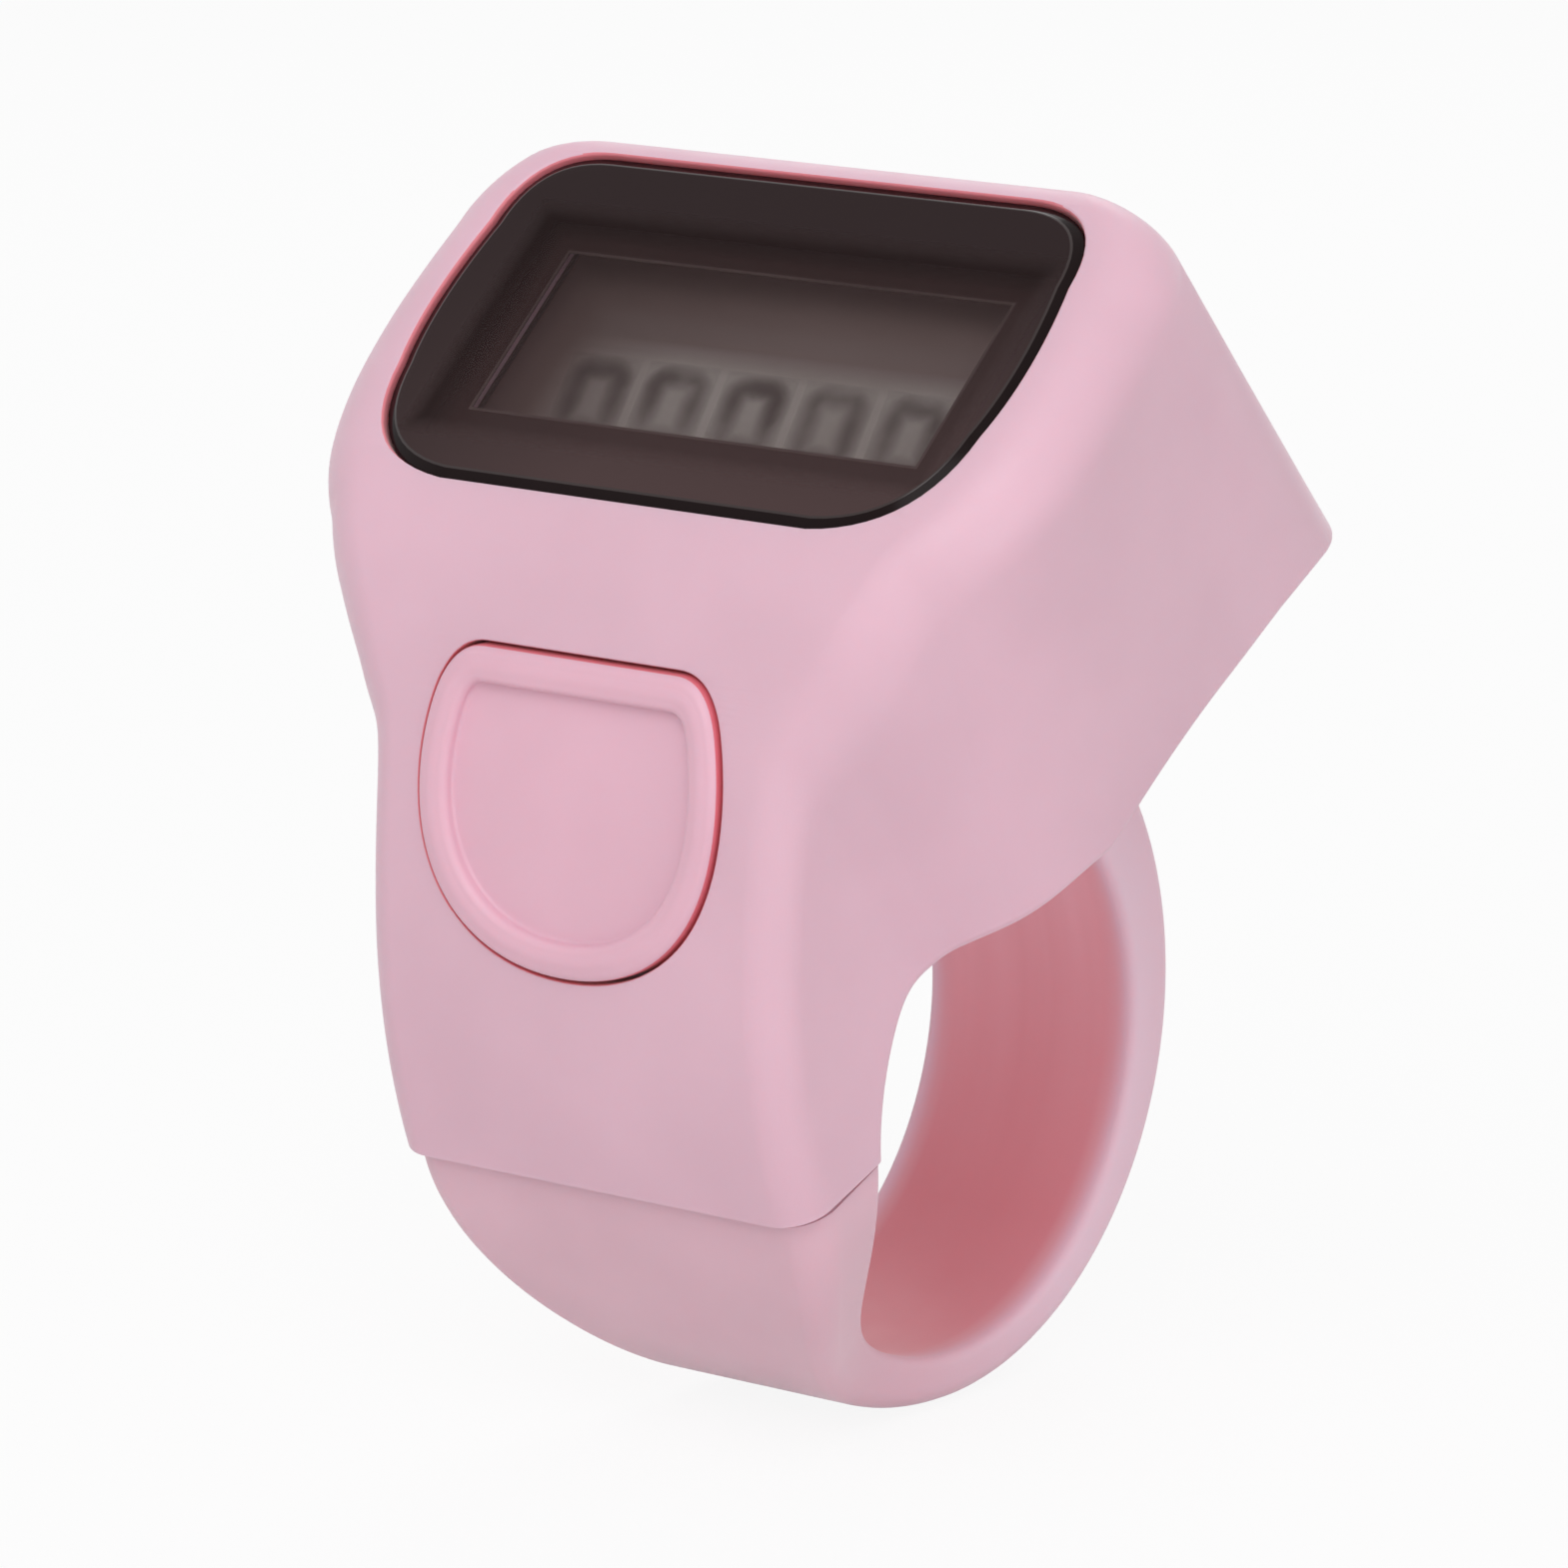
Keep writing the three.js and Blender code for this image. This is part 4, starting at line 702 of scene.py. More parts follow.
# Band: a tapered loop from the seam round the finger and up into the cover
def band_loop(finish):
    """A closed loop whose width, flare and edges follow the turn, with its hole wall marked for painted shade."""
    growth = Growth("ring_band", {
        "Hole Radius": HOLE_RADIUS * MM, "Outer Radius": BAND_OUTER_RADIUS * MM,
        "Centre Back": BAND_CENTRE_BACK * MM, "Centre Height": BAND_CENTRE_HEIGHT * MM,
        "Seam Half Width": BAND_SEAM_HALF_WIDTH * MM, "Back Half Width": BAND_BACK_HALF_WIDTH * MM,
        "Taper Span": BAND_TAPER_SPAN, "Flare": BAND_FLARE * MM, "Flare Span": BAND_FLARE_SPAN,
        "Edge Radius": BAND_EDGE_RADIUS * MM, "Seam Edge Radius": BAND_SEAM_EDGE_RADIUS * MM,
        "Inner Edge Radius": BAND_INNER_EDGE_RADIUS * MM, "Seam Lean": SEAM_LEAN,
        "Start Angle": SEAM_INNER_ANGLE + (FIT_GAP + TOUCH_GAP) / HOLE_RADIUS,
        "End Angle": 2 * math.pi + BAND_END_ANGLE, "Rings": BAND_RINGS, "Wall Fade": BAND_WALL_FADE * MM,
        "Finish": finish,
    })
    (hole, outside, centre_back, centre_height, seam_half, back_half, taper_span, flare_depth, flare_span,
     edge_radius, seam_edge_radius, inner_edge, lean, start, stop, rings, fade) = growth.values[:-1]
    sums, capped, sin, cos = growth.sum, growth.capped, growth.sin, growth.cos

    # One column of points for each place round the section, one row for each ring, and a point at either end
    outer_steps, inner_steps, wall_steps = BAND_SECTION
    columns = 1 + outer_steps + 1 + inner_steps + wall_steps
    grid = growth.step("GeometryNodeMeshGrid", {
        "Size X": 1.0, "Size Y": 1.0, "Vertices X": rings + 3, "Vertices Y": 2 * columns + 1})
    row = sums("ROUND", (growth.part("X") + 0.5) * (rings + 2))
    column = sums("ROUND", growth.part("Y") * (2 * columns))
    ring = growth.most(growth.least(row - 1, rings), 0)
    end = abs(row - 1 - ring)
    place = columns - abs(column)

    # The turn, and what follows it
    swept = (stop - start) * (ring / rings)
    flow = growth.least(swept / taper_span, 1)
    rest = sums("POWER", 1 - flow, 2)
    half = back_half + (seam_half - back_half) * ((cos(flow * math.pi) + 1) * 0.5)
    flare = flare_depth * sums("POWER", 1 - growth.least(swept / flare_span, 1), 1.5)
    edge = edge_radius + (seam_edge_radius - edge_radius) * rest
    angle = start + swept
    ray = [turn(angle + lean * rest) for turn in (cos, sin)]
    reach = ray[0] * centre_back + ray[1] * centre_height
    squares = reach * reach + outside * outside - (centre_back * centre_back + centre_height * centre_height)
    distance = reach + sums("SQRT", squares) + flare
    outer = [share * distance for share in ray]
    fall = [turn(angle) * hole - far for turn, far in zip((cos, sin), outer)]
    length = sums("SQRT", fall[0] * fall[0] + fall[1] * fall[1])

    # The section: the outer corner, the inner corner, and in along the wall of the hole
    outer_turn = capped((place - 1) / outer_steps) * (math.pi / 2)
    inner_place = place - (2 + outer_steps)
    inner_turn = capped(inner_place / inner_steps) * (math.pi / 2)
    wall = capped((inner_place - inner_steps) / wall_steps)
    side = half - (edge * (1 - sin(outer_turn)) + inner_edge * (1 - cos(inner_turn)))
    side = side * capped(place) * (1 - wall)
    lower = length - edge - inner_edge * (1 - sin(inner_turn))
    depth = edge * (1 - cos(outer_turn)) + capped(inner_place + 1) * lower
    across = side * sums("SIGN", column * -1) * (1 - end)
    sunk = (depth * (1 - end) + length * end * 0.5) / length
    point = growth.vector(across, outer[0] + fall[0] * sunk, outer[1] + fall[1] * sunk)
    # The hole wall's share, stored as the wall mark, is where the band's finish paints shade.
    inside = capped(wall * wall_steps) * capped((half - side) / fade)
    loop = growth.step("GeometryNodeSetPosition", {
        "Geometry": growth.marked(grid, "wall", inside), "Position": point})
    loop = growth.step("GeometryNodeMergeByDistance", {"Geometry": loop, "Distance": WELD * MM})
    return mended(growth.mesh("finger_band", loop))


def band(finish):
    """The loop, cut off along the roof of the finger hole."""
    roof = inner_line(-FIT_GAP)
    outline = [roof.at(share) for share in np.linspace(ROOF_START, 1, ROOF_COUNT)]
    outline += [outline[-1] + FAR * np.array([COS, SIN]), np.array([-FAR, FAR])]
    above = skin("above", [[(x, *point) for point in outline] for x in (-FAR, FAR)])
    return weighted("finger_band", cut("finger_band", band_loop(finish), [above]))


def seam_lip():
    """A lip on the band that stands inside the shell and closes the view through the seam."""
    rings = np.array(shell_rings(WALL + LIP_GAP, RIM_WALL, WALL + LIP_GAP, CAVITY_COUNT)[:2])
    up = (rings[1] - rings[0]).mean(axis=0)
    up *= LIP_REACH / np.linalg.norm(up)
    return weighted("seam_lip", skin("seam_lip", [rings[0] - up, rings[0] + up]))


# Button: a raised bead round a bare pad, with a flange behind the wall
def button():
    flange, pad, shoulder = -WALL - FIT_GAP, BUTTON_PROUD - BUTTON_PAD_DEPTH, BUTTON_PROUD
    outer, inner, foot = BEAD_OUTER_RADIUS, BEAD_INNER_RADIUS, BEAD_FOOT_RADIUS
    crown_start, crown_end = BUTTON_GAP + outer, BUTTON_RIM - inner
    levels = [(flange - BUTTON_FLANGE_THICKNESS, -BUTTON_FLANGE), (flange, -BUTTON_FLANGE), (flange, BUTTON_GAP)]
    levels += rounded(outer, shoulder, BUTTON_GAP, 1, 7)
    levels += [(shoulder + BEAD_CROWN * math.sin(math.pi * share), crown_start + (crown_end - crown_start) * share)
               for share in np.linspace(0, 1, 9)[1:]]
    levels += [(shoulder - inner * (1 - math.cos(a)), crown_end + inner * math.sin(a))
               for a in np.linspace(0, math.pi / 2, 8)[1:]]
    levels += [(pad + foot * up, BUTTON_RIM + foot * across) for across, up in quarter(5)]
    rings = front_rings(levels)
    edge = np.array(shield_outline(BUTTON_RIM + foot))
    centre = np.array([0.0, (BUTTON_BOTTOM + BUTTON_TOP) / 2])
    for share in PAD_SHARES:
        dip = PAD_DISH * (1 - share ** 2)
        rings.append([(x, front_depth(z) - pad + dip, z) for x, z in centre + (edge - centre) * share])
    hollow = skin("button_hollow", front_rings([
        (flange - BUTTON_FLANGE_THICKNESS - OVERRUN, BUTTON_RIM), (-BUTTON_HOLLOW, BUTTON_RIM)]))
    return weighted("button", cut("button", skin("button", rings), [hollow]), BUTTON_SHARP)


# Lens: a flat smoky plate with a polished chamfer
def lens():
    foot, edge = LENS_TOP - LENS_BEVEL_DROP, LENS_BEVEL - LENS_REACH
    levels = [(LENS_BOTTOM, -LENS_REACH), (foot - LENS_EDGE, -LENS_REACH), (foot, LENS_EDGE / 3 - LENS_REACH)]
    levels += [(LENS_TOP - LENS_FALL * (1 - share) ** 2, edge - LENS_EDGE + 2 * LENS_EDGE * share)
               for share in np.linspace(0, 1, 6)]
    return weighted("lens", lens_plate("lens", levels + [(LENS_TOP, edge + LENS_BEVEL)]), LENS_SHARP)


def edge_finishes(piece, *edges):
    """The lens's rounded edge is polished, and its chamfer and sides are painted dark, as shade for a dark
    reflection; both flat faces stay clear.
    """
    for edge in edges:
        piece.data.materials.append(edge)
    for face in piece.data.polygons:
        height = (face.center[2] * COS - face.center[1] * SIN) / MM
        if abs(height - LENS_TOP) < LENS_FACE_REACH or abs(height - LENS_BOTTOM) < LENS_FACE_REACH:
            face.material_index = 0
        else:
            face.material_index = 1 if height > LENS_TOP - LENS_FALL else 2


def view_box(name, inset, low, high):
    half = VIEW_HALF_WIDTH - inset
    return head_box(name, half, VIEW_FRONT + inset, VIEW_BACK - inset, low, high)


def view_frame():
    """A fine pale line along the edge of the view, where the print ends."""
    outer = view_box("view_frame", 0, PRINT_TOP - FRAME_THICKNESS, PRINT_TOP)
    inner = view_box("view_frame_cut", FRAME_WIDTH, PRINT_TOP - OVERRUN, PRINT_TOP + OVERRUN)
    return weighted("view_frame", cut("view_frame", outer, [inner]))


def mask():
    """The black print and tape under the lens, open over the display."""
    sheet = lens_plate("lens_mask", [(PRINT_TOP - TAPE_THICKNESS, -MASK_REACH), (PRINT_TOP, -MASK_REACH)])
    opening = view_box("opening", 0, PRINT_TOP - OVERRUN, PRINT_TOP + OVERRUN)
    return weighted("lens_mask", cut("lens_mask", sheet, [opening]))


# Display face: the soft zeros of five digits, a print on the film
def digits(finish):
    """A soft zero in each digit of the row: one stroke round a rectangle, fading out at both its edges."""
    growth = Growth("digit_row", {
        "Digits": 5, "Pitch": 3.3 * MM, "Width": 1.75 * MM, "Height": 2.5 * MM, "Bar": 1.2 * MM,
        "Corner": 0.45 * MM, "Slant": -0.2, "Thickness": 0.02 * MM, "Finish": finish,
    })
    count, pitch, width, height, bar, corner, slant, thickness = growth.values[:-1]
    grid = growth.step("GeometryNodeMeshGrid", {
        "Size X": width + bar, "Size Y": height + bar, "Vertices X": DIGIT_GRID[0], "Vertices Y": DIGIT_GRID[1]})
    past = [abs(growth.part(axis)) - (length * 0.5 - corner) for axis, length in (("X", width), ("Y", height))]
    beyond = [growth.most(reach, 0) for reach in past]
    outside = growth.sum("SQRT", beyond[0] * beyond[0] + beyond[1] * beyond[1])
    off = outside + growth.least(growth.most(*past), 0) - corner
    core = growth.capped(1 - abs(off) / (bar * 0.5))
    row = growth.step("GeometryNodeMeshLine", {
        "Count": count, "Offset": growth.vector(pitch),
        "Start Location": growth.vector(pitch * (count - 1) * -0.5, height * 0.5)})
    row = growth.step("GeometryNodeInstanceOnPoints", {"Points": row, "Instance": growth.marked(grid, "core", core)})
    row = growth.step("GeometryNodeRealizeInstances", {"Geometry": row})
    row = growth.step("GeometryNodeSetPosition", {
        "Geometry": row, "Offset": growth.vector(growth.part("Y") * slant)})
    walls = growth.step("GeometryNodeExtrudeMesh", {
        "Mesh": row, "Offset Scale": thickness, "Individual": False})
    back = growth.step("GeometryNodeFlipFaces", {"Mesh": row})
    row = growth.step("GeometryNodeJoinGeometry", {"Geometry": [walls, back]})
    row = growth.step("GeometryNodeMergeByDistance", {"Geometry": row, "Distance": DIGIT_WELD * MM})
    place = head_point(DIGIT_FRONT, FILM_TOP + PRINT_LIFT) * MM
    row = growth.step("GeometryNodeTransform", {
        "Geometry": row, "Rotation": (RIM_TILT, 0, 0), "Translation": (DIGIT_OFFSET * MM, place[0], place[1])})
    return placed("display_digits", growth.mesh("display_digits", row))


def smoothed(node, name):
    """A CAD solid's own shape with smooth faces."""
    mesh = nodes[node].data.copy()
    mesh.materials.clear()
    return weighted(name, mended(mesh, 10 * WELD * MM), COVER_SHARP)


# Materials
UP_SLOPE = (0, COS, SIN)
COAT_ROUGHNESS = 0.12
SHEEN_ROUGHNESS = 0.4
GLOW_RADIUS = (1.0, 0.32, 0.3)
GLOW_DEPTH = 1.2 * MM
GRAIN = 0.004 * MM
HOLE_WALL_START, HOLE_WALL_END = 9.92 * MM, 9.98 * MM
PRINT_START, PRINT_END = 0.9 * MM, 1.7 * MM


class Finish(Nodes):
    """A procedural finish on the object's own coordinates."""

    LEVELS = {"metal": "Metallic", "coat": "Coat Weight", "specular": "Specular IOR Level", "index": "IOR",
              "subsurface": "Subsurface Weight", "sheen": "Sheen Weight"}

    def __init__(self, name, rough, **levels):
        self.material = bpy.data.materials.new(name)
        self.material.use_nodes = True
        super().__init__(self.material.node_tree)
        self.tree.nodes.clear()
        self.shader = self.node("ShaderNodeBsdfPrincipled", {
            "Roughness": rough, "Coat Roughness": COAT_ROUGHNESS, "Sheen Roughness": SHEEN_ROUGHNESS,
            "Subsurface Radius": GLOW_RADIUS, "Subsurface Scale": GLOW_DEPTH})
        for key, level in levels.items():
            self.shader.inputs[self.LEVELS[key]].default_value = level
        self.surface = Value(self, self.shader.outputs[0])
        self.output = self.node("ShaderNodeOutputMaterial", {"Surface": self.surface})
        self.place = self.step("ShaderNodeTexCoord", output="Object")

    def fill(self, **values):
        """Joins values to the shader's inputs of the same names, such as base_color."""
        for key, value in values.items():
            self.tree.links.new(value.socket, self.shader.inputs[key.replace("_", " ").title()])
        return self.material

    def noise(self, scale, detail=3.0, roughness=0.55, stretch=None):
        place = self.step("ShaderNodeMapping", {"Vector": self.place, "Scale": stretch}) if stretch else self.place
        return self.step("ShaderNodeTexNoise", {
            "Vector": place, "Scale": scale, "Detail": detail, "Roughness": roughness}, "Fac")

    def spread(self, value, low, high, start=0.3, end=0.7):
        """Low at the start of a value's range and high at its end, and held beyond them."""
        return self.step("ShaderNodeMapRange", {
            "Value": value, "From Min": start, "From Max": end, "To Min": low, "To Max": high})

    def blend(self, share, first, second):
        return self.step("ShaderNodeMix", {0: share, 6: first, 7: second}, 2, data_type="RGBA")

    def clouded(self, cloud, first, second):
        return self.blend(self.spread(cloud, 0, 1), first, second)

    def along(self, direction):
        """How far along a direction a point lies, in metres."""
        return self.step("ShaderNodeVectorMath", {0: self.place, 1: direction}, "Value", operation="DOT_PRODUCT")

    def from_axis(self):
        """How far a point lies from the line through the middle of the finger hole, in metres."""
        flat = self.step("ShaderNodeVectorMath", {0: self.place, 1: (0, 1, 1)}, operation="MULTIPLY")
        return self.step("ShaderNodeVectorMath", {0: flat}, "Value", operation="LENGTH")

    def mark(self, name):
        return self.step("ShaderNodeAttribute", output="Fac", attribute_name=name)

    def bump(self, height, distance, strength=1.0):
        self.fill(normal=self.step("ShaderNodeBump", {
            "Height": height, "Distance": distance, "Strength": strength}))


def linear(*levels):
    """A colour read off a screen, 0 to 255, as the shader takes it."""
    shares = [level / 255 for level in levels]
    return (*(s / 12.92 if s <= 0.04045 else ((s + 0.055) / 1.055) ** 2.4 for s in shares), 1.0)


def shade(colour, factor):
    return (*(min(c * factor, 1.0) for c in colour[:3]), 1.0)


def painted_hole_shade(finish):
    """1 on the wall of the finger hole, where painted shade makes the pink deeper, 0 away from it."""
    return finish.spread(finish.from_axis(), 1, 0, HOLE_WALL_START, HOLE_WALL_END)


def painted_roof_light(finish):
    """1 on the upper wall of the finger hole, where painted light makes it paler, 0 below its middle."""
    return painted_hole_shade(finish) * finish.spread(finish.part("Z"), 0, 1, -1 * MM, 7 * MM)


def painted_hole_wall_shade(finish):
    """Painted shade: 1 well inside the band's hole, fading to 0 at its near edge, as the band is marked."""
    return finish.mark("wall")


def painted_wall_light(finish):
    """The part of the band's hole that catches light from the open side, in faint streaks along the turn, where that
    light is painted.
    """
    streak = finish.spread(finish.noise(700, 2, 0.5, (1, 0.06, 0.06)), 0.7, 1)
    return painted_hole_wall_shade(finish) * streak * finish.spread(finish.part("Z"), 0.05, 1, -7 * MM, 5 * MM)


def painted_back_sheen(finish):
    """Painted sheen: 1 on the side of the band's back, beside the hole, fading out before its outer edge and towards
    the front.
    """
    beside = finish.spread(finish.from_axis(), 1, 0.35, 10.4 * MM, 12.8 * MM)
    return beside * finish.spread(finish.part("Y"), 0, 0.85, -3 * MM, 6 * MM)


def painted_recess_shade(finish):
    """1 on the walls round the lens and the button, where a piece is marked, for painted shade."""
    return finish.mark("recess")


def moulded(name, colour, rough, grain=GRAIN, variation=0.035, painted_light_and_shade=(), **levels):
    """Moulded plastic: a fine spark-eroded grain, faint clouding of the colour, uneven gloss."""
    finish = Finish(name, rough, **levels)
    tone = finish.clouded(finish.noise(130, 2), shade(colour, 1 - variation), shade(colour, 1 + variation))
    # Each of these masks paints light or shade into the colour.
    for place, painted_colour in painted_light_and_shade:
        tone = finish.blend(place(finish), tone, painted_colour)
    finish.bump(finish.noise(9000, 4, 0.7), grain)
    gloss = finish.noise(420, 3)
    return finish.fill(base_color=tone, roughness=finish.spread(gloss, rough - 0.05, rough + 0.05))


def past_view(finish):
    """How far a point lies outside the clear view, in metres; below 0 inside it."""
    spans = ((finish.part("X"), VIEW_SHIFT, VIEW_HALF_WIDTH),
             (finish.along(UP_SLOPE), (VIEW_FRONT + VIEW_BACK) / 2 - VIEW_SHIFT, (VIEW_BACK - VIEW_FRONT) / 2))
    return finish.most(*(abs(value - centre * MM) - half * MM for value, centre, half in spans))


def smoky():
    """Polished smoky acrylic: clear over the view, near black over the print, brown, with a painted reflection that
    makes it paler in front.
    """
    finish = Finish("smoky_acrylic", 0.05, specular=0.05, index=1.55)
    past = past_view(finish)
    # Painted reflection: paler towards the front, least so on the left.
    front = finish.spread(finish.along(UP_SLOPE), 1, 0, 5 * MM, 16 * MM)
    painted_glare = front * finish.spread(finish.part("X"), 0.25, 1, -12 * MM, -2 * MM)
    clear = finish.blend(painted_glare, linear(62, 48, 48), linear(88, 69, 69))
    printed = finish.blend(painted_glare, linear(44, 32, 33), linear(75, 58, 58))
    finish.bump(finish.noise(55, 2), 0.01 * MM, 0.1)
    return finish.fill(base_color=finish.blend(finish.spread(past, 0, 1, PRINT_START, PRINT_END), clear, printed),
                       alpha=finish.spread(past, 0.3, 1, PRINT_START, PRINT_END),
                       roughness=finish.spread(finish.noise(90, 2), 0.05, 0.09))


def polished(name, colour, index, specular):
    """The lens's opaque edge, where it is buffed."""
    finish = Finish(name, 0.12, index=index, specular=specular)
    cloud = finish.noise(300, 3)
    return finish.fill(base_color=finish.clouded(cloud, shade(colour, 0.85), shade(colour, 1.15)),
                       roughness=finish.spread(cloud, 0.08, 0.2))


def metal(name, colour, rough, stretch=(1, 18, 1)):
    finish = Finish(name, rough, metal=1.0)
    lines = finish.noise(600, 3, 0.6, stretch)
    finish.bump(lines, 0.003 * MM)
    return finish.fill(base_color=finish.clouded(lines, shade(colour, 0.9), shade(colour, 1.08)),
                       roughness=finish.spread(lines, rough - 0.08, rough + 0.1))


def board_lacquer():
    finish = Finish("board_lacquer", 0.35, coat=0.3)
    tracks = finish.node("ShaderNodeTexBrick", {
        "Vector": finish.place, "Scale": 260, "Mortar Size": 0.03,
        "Color1": linear(34, 96, 60), "Color2": linear(30, 88, 54), "Mortar": linear(58, 130, 84)})
    finish.bump(Value(finish, tracks.outputs["Fac"]), 0.02 * MM, 0.6)
    return finish.fill(base_color=Value(finish, tracks.outputs["Color"]),
                       roughness=finish.spread(finish.noise(500), 0.3, 0.45))


def display_film():
    """Polariser: a brown-grey sheet, darker to the left, with fine lines, and a painted reflection that makes it
    paler under the digits.
    """
    finish = Finish("display_film", 0.35, coat=0.3)
    slope, across = finish.along(UP_SLOPE), finish.part("X")
    cloud, lines = finish.noise(260, 3), finish.noise(1500, 2, 0.5, (0.03, 1, 1))
    right = finish.spread(across, 0, 1, -9 * MM, 1 * MM)
    sheet = finish.blend(right, linear(117, 98, 95), linear(150, 130, 127))
    sheet = finish.blend(finish.spread(lines, 0, 1, 0.5, 0.75) * right, sheet, linear(158, 136, 132))
    # The paler area under the digits, fading to the left, is a painted reflection.
    painted_reflection = finish.clouded(cloud, linear(208, 198, 192), linear(224, 215, 210))
    under = finish.spread(slope, 0, 1, 7.9 * MM, 8.8 * MM) * finish.spread(slope, 1, 0, 11.6 * MM, 12.8 * MM)
    under = under * finish.spread(across, 0, 1, -8.5 * MM, -3.5 * MM)
    return finish.fill(base_color=finish.blend(under, sheet, painted_reflection), roughness=finish.spread(cloud, 0.3, 0.45))


def ghost_ink():
    """Liquid crystal at rest: dark in the middle of a bar, fading out at its edges, and uneven."""
    finish = Finish("liquid_crystal", 0.5)
    upper = finish.spread(finish.along(UP_SLOPE), 0.35, 1, 8.5 * MM, 10.8 * MM)
    uneven = finish.spread(finish.noise(420, 2), 0.18, 0.5)
    return finish.fill(
        base_color=finish.clouded(finish.noise(500, 2), linear(84, 78, 78), linear(98, 92, 91)),
        alpha=finish.spread(finish.mark("core"), 0, 1, 0, 0.9) * (upper * uneven))


def pale_line():
    """The printed edge of the view, worn a little thin."""
    finish = Finish("pale_line", 0.5, specular=0.2)
    wear = finish.noise(240, 3)
    return finish.fill(base_color=finish.clouded(wear, linear(86, 72, 71), linear(116, 100, 98)),
                       roughness=finish.spread(wear, 0.45, 0.6))


# PINK, PINK_BAND and PINK_BUTTON are the plastics' own colours; the others are painted: shade in the finger hole,
# the recesses and the button's gap, light on the hole's upper walls, and a pale sheen on the band's back.
PINK = linear(224, 182, 198)
PINK_BAND = linear(227, 184, 198)
PINK_PAINTED_HOLE_SHADE = linear(223, 141, 150)
PINK_PAINTED_ROOF_LIGHT = linear(236, 178, 190)
PINK_PAINTED_WALL_LIGHT = linear(248, 190, 202)
PINK_PAINTED_SHEEN = linear(236, 204, 219)
PINK_PAINTED_RECESS_SHADE = linear(230, 130, 141)
PINK_PAINTED_GAP_SHADE = linear(220, 108, 122)
PINK_BUTTON = linear(228, 180, 197)

finishes = {
    "pink_shell": moulded("pink_shell", PINK, 0.46, subsurface=0.2, sheen=0.24,
                          painted_light_and_shade=[(painted_hole_shade, PINK_PAINTED_HOLE_SHADE), (painted_roof_light, PINK_PAINTED_ROOF_LIGHT), (painted_recess_shade, PINK_PAINTED_RECESS_SHADE)]),
    "pink_band": moulded("pink_band", PINK_BAND, 0.55, subsurface=0.22, sheen=0.26,
                         painted_light_and_shade=[(painted_back_sheen, PINK_PAINTED_SHEEN), (painted_hole_wall_shade, PINK_PAINTED_HOLE_SHADE), (painted_wall_light, PINK_PAINTED_WALL_LIGHT)]),
    "pink_button": moulded("pink_button", PINK_BUTTON, 0.42, subsurface=0.2, sheen=0.14,
                           painted_light_and_shade=[(painted_recess_shade, PINK_PAINTED_GAP_SHADE)]),
    "smoked_lens": smoky(),
    "adhesive": moulded("black_print", linear(56, 37, 37), 0.6, grain=0.0001 * MM, specular=0.12),
    "display_film": display_film(),
    "display_glass": moulded("display_glass", linear(150, 156, 152), 0.12, coat=0.5),
    "reflector": metal("silver_film", linear(150, 150, 146), 0.4, (1, 1, 1)),
    "white_plastic": moulded("black_holder", linear(26, 24, 25), 0.55),
    "elastomer": moulded("dark_elastomer", linear(58, 58, 60), 0.75, variation=0.1),
    "board": board_lacquer(),
    "black_plastic": moulded("black_plastic", linear(30, 30, 32), 0.5),
    "ceramic": moulded("fired_ceramic", linear(178, 150, 116), 0.5, variation=0.08),
    "cell_steel": metal("cell_steel", linear(196, 197, 200), 0.3),
    "contact_metal": metal("contact_metal", linear(206, 186, 136), 0.32),
    "foam": moulded("closed_foam", linear(64, 64, 66), 0.9, grain=0.03 * MM, variation=0.15),
    "ribbon": moulded("ribbon_film", linear(196, 140, 60), 0.35, variation=0.06, coat=0.4),
    "pin_steel": metal("pin_steel", linear(190, 191, 194), 0.25),
    "screw_steel": metal("screw_steel", linear(172, 174, 178), 0.35),
}


def dress(piece, finish):
    piece.data.materials.clear()
    piece.data.materials.append(finish)


slot_of = {part["node"]: part["material_slot"] for part in frame["record"]["subparts"]}
for name, node in nodes.items():
    dress(node, finishes[slot_of[name]])

# Each piece with its body, the node it replaces and its slot
made = [
    (mark_painted_recess_shade(housing(), lambda point, normal: round_lens(point, normal) or round_button(-1)(point, normal)),
     "counter", "upper_housing", "pink_shell"),
    (smoothed("base_cover", "cover"), "counter", "base_cover", "pink_shell"),
    (band(finishes["pink_band"]), "counter", "ring_band", "pink_band"),
    (seam_lip(), "counter", None, "pink_band"),
    (mark_painted_recess_shade(button(), round_button(1)), "button", "count_button", "pink_button"),
    (lens(), "counter", "display_lens", "smoked_lens"),
    (mask(), "counter", "lens_tape", "adhesive"),
    (view_frame(), "counter", None, "display_film"),
]
for piece, body, node, slot in made:
    dress(piece, pale_line() if piece.name == "view_frame" else finishes[slot])
    if node == "display_lens":
        # The chamfer's darker copy of the edge finish is painted shade, standing for a dark reflection.
        edge_finishes(piece, polished("lens_edge", linear(46, 34, 34), 1.5, 0.35),
                      polished("lens_chamfer", linear(24, 13, 14), 1.45, 0.1))
    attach(piece, body)
    if node:
        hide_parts(node)

ghost = digits(ghost_ink())
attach(ghost, "counter")

# Floor and light
WHITE = (1.0, 1.0, 1.0, 1.0)
FLOOR_HALF = 0.9
FLOOR_DROP = 0.0002
FLOOR_DARK, FLOOR_PALE = (0.82, 0.82, 0.82, 1.0), (0.85, 0.85, 0.85, 1.0)
FLOOR_WHITENESS = 0.9
WORLD_LIGHT, WORLD_SEEN = 0.53, 1.0

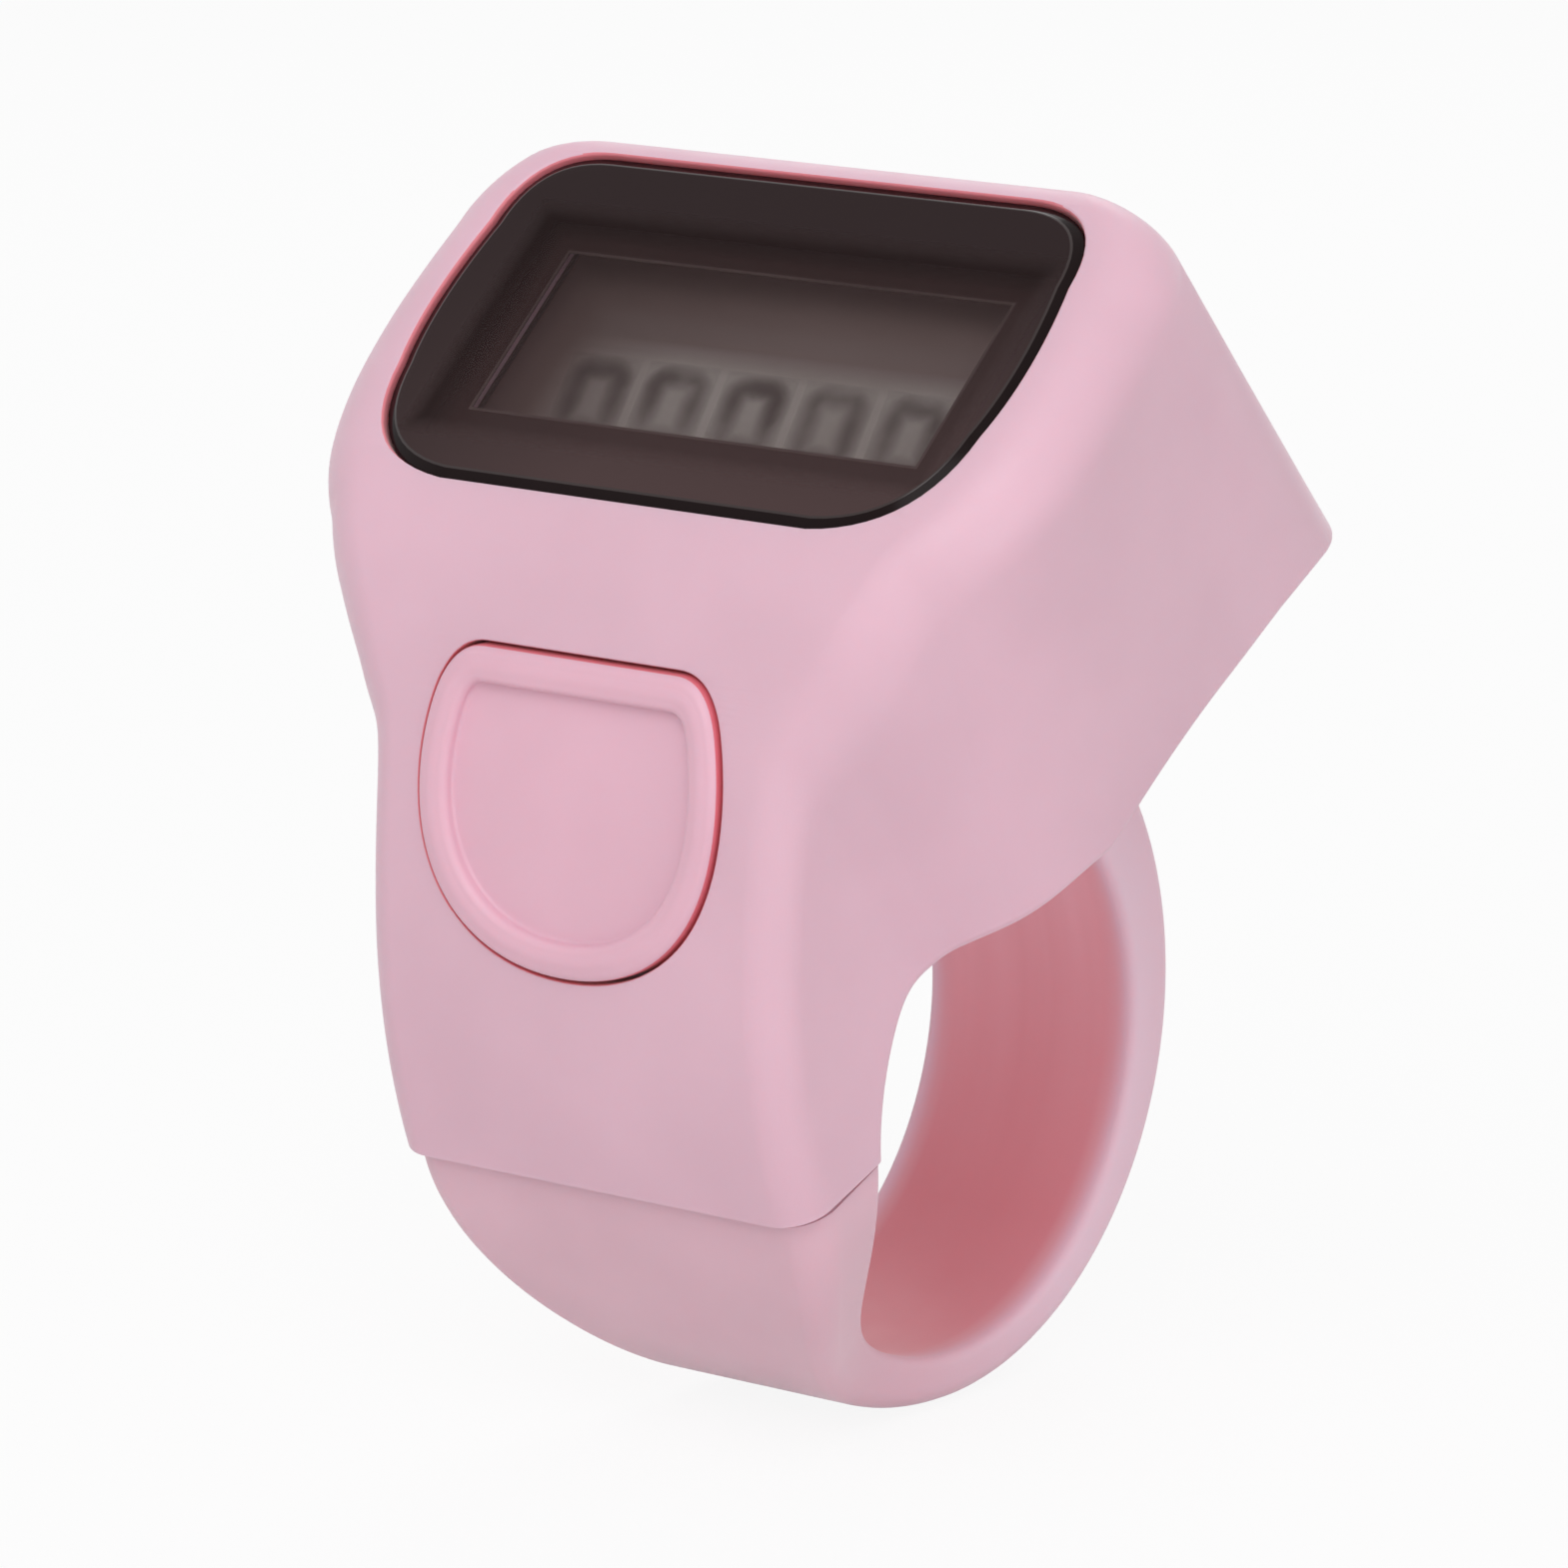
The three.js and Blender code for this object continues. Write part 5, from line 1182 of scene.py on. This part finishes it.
# Name, place, aim and size in metres, and power in watts
LAMPS = (
    ("key", (0.16, -0.36, 0.4), (0, 0, 0.01), 0.4, 1.25),
    ("fill", (0.46, -0.2, 0.03), (0, 0, 0.005), 0.35, 0.68),
    ("rim", (-0.17, 0.3, 0.3), (0, 0.005, 0.02), 0.22, 0.3),
)


def plain_view(nodes):
    """1 for rays that show the background: to the camera, off a polished face or through glass."""
    rays = nodes.node("ShaderNodeLightPath").outputs
    shown, *others = [Value(nodes, rays[f"Is {kind} Ray"]) for kind in ("Camera", "Glossy", "Transmission")]
    for other in others:
        shown = nodes.most(shown, other)
    return shown


def floor_finish():
    finish = Finish("studio_floor", 0.9, specular=0.1)
    finish.fill(base_color=finish.blend(finish.noise(30, 2), FLOOR_DARK, FLOOR_PALE))
    glow = finish.step("ShaderNodeEmission", {"Color": WHITE})
    mixed = finish.step("ShaderNodeMixShader", {0: plain_view(finish) * FLOOR_WHITENESS, 1: finish.surface, 2: glow})
    finish.tree.links.new(mixed.socket, finish.output.inputs["Surface"])
    return finish.material


def studio_world():
    world = bpy.data.worlds.new("studio")
    world.use_nodes = True
    world.node_tree.nodes.clear()
    nodes = Nodes(world.node_tree)
    soft, seen = [nodes.step("ShaderNodeBackground", {"Color": WHITE, "Strength": strength})
                  for strength in (WORLD_LIGHT, WORLD_SEEN)]
    mixed = nodes.step("ShaderNodeMixShader", {0: plain_view(nodes), 1: soft, 2: seen})
    nodes.node("ShaderNodeOutputWorld", {"Surface": mixed})
    bpy.context.scene.world = world


def set_up(thing, place, back):
    """Puts a lamp or camera at its place, looking away from the back direction."""
    thing.location = place
    thing.rotation_mode = "QUATERNION"
    thing.rotation_quaternion = (-back).to_track_quat("-Z", "Y")


def softbox(name, place, aim, size, power):
    light = bpy.data.lights.new(name, "AREA")
    light.shape = "SQUARE"
    light.size = size
    light.energy = power
    set_up(placed(name, light), place, Vector(place) - Vector(aim))


height = cad_box[0].z - FLOOR_DROP
corners = [(x * FLOOR_HALF, y * FLOOR_HALF, height) for x, y in ((-1, -1), (1, -1), (1, 1), (-1, 1))]
floor = placed("floor", mesh_of("floor", corners, [(0, 1, 2, 3)]))
floor.data.materials.append(floor_finish())
studio_world()
for lamp in LAMPS:
    softbox(*lamp)

# Camera, fitted to the photograph: its focal length is in the photograph's pixels
AIM = Vector((0, -0.00406, 0.0099))
AZIMUTH, ELEVATION = math.radians(38), math.radians(12.2)
DISTANCE = 0.27453
FOCAL_LENGTH, PHOTO_WIDTH = 8236, 1569
SENSOR_WIDTH = 36
CLIP_START, CLIP_END = 0.01, 10
back = Vector((math.sin(AZIMUTH) * math.cos(ELEVATION), -math.cos(AZIMUTH) * math.cos(ELEVATION),
               math.sin(ELEVATION)))
camera = placed("camera", bpy.data.cameras.new("camera"))
camera.data.sensor_width = SENSOR_WIDTH
camera.data.lens = SENSOR_WIDTH * FOCAL_LENGTH / PHOTO_WIDTH
camera.data.clip_start, camera.data.clip_end = CLIP_START, CLIP_END
set_up(camera, AIM + back * DISTANCE, back)
bpy.context.scene.camera = camera
bpy.context.scene.view_settings.view_transform = "Standard"
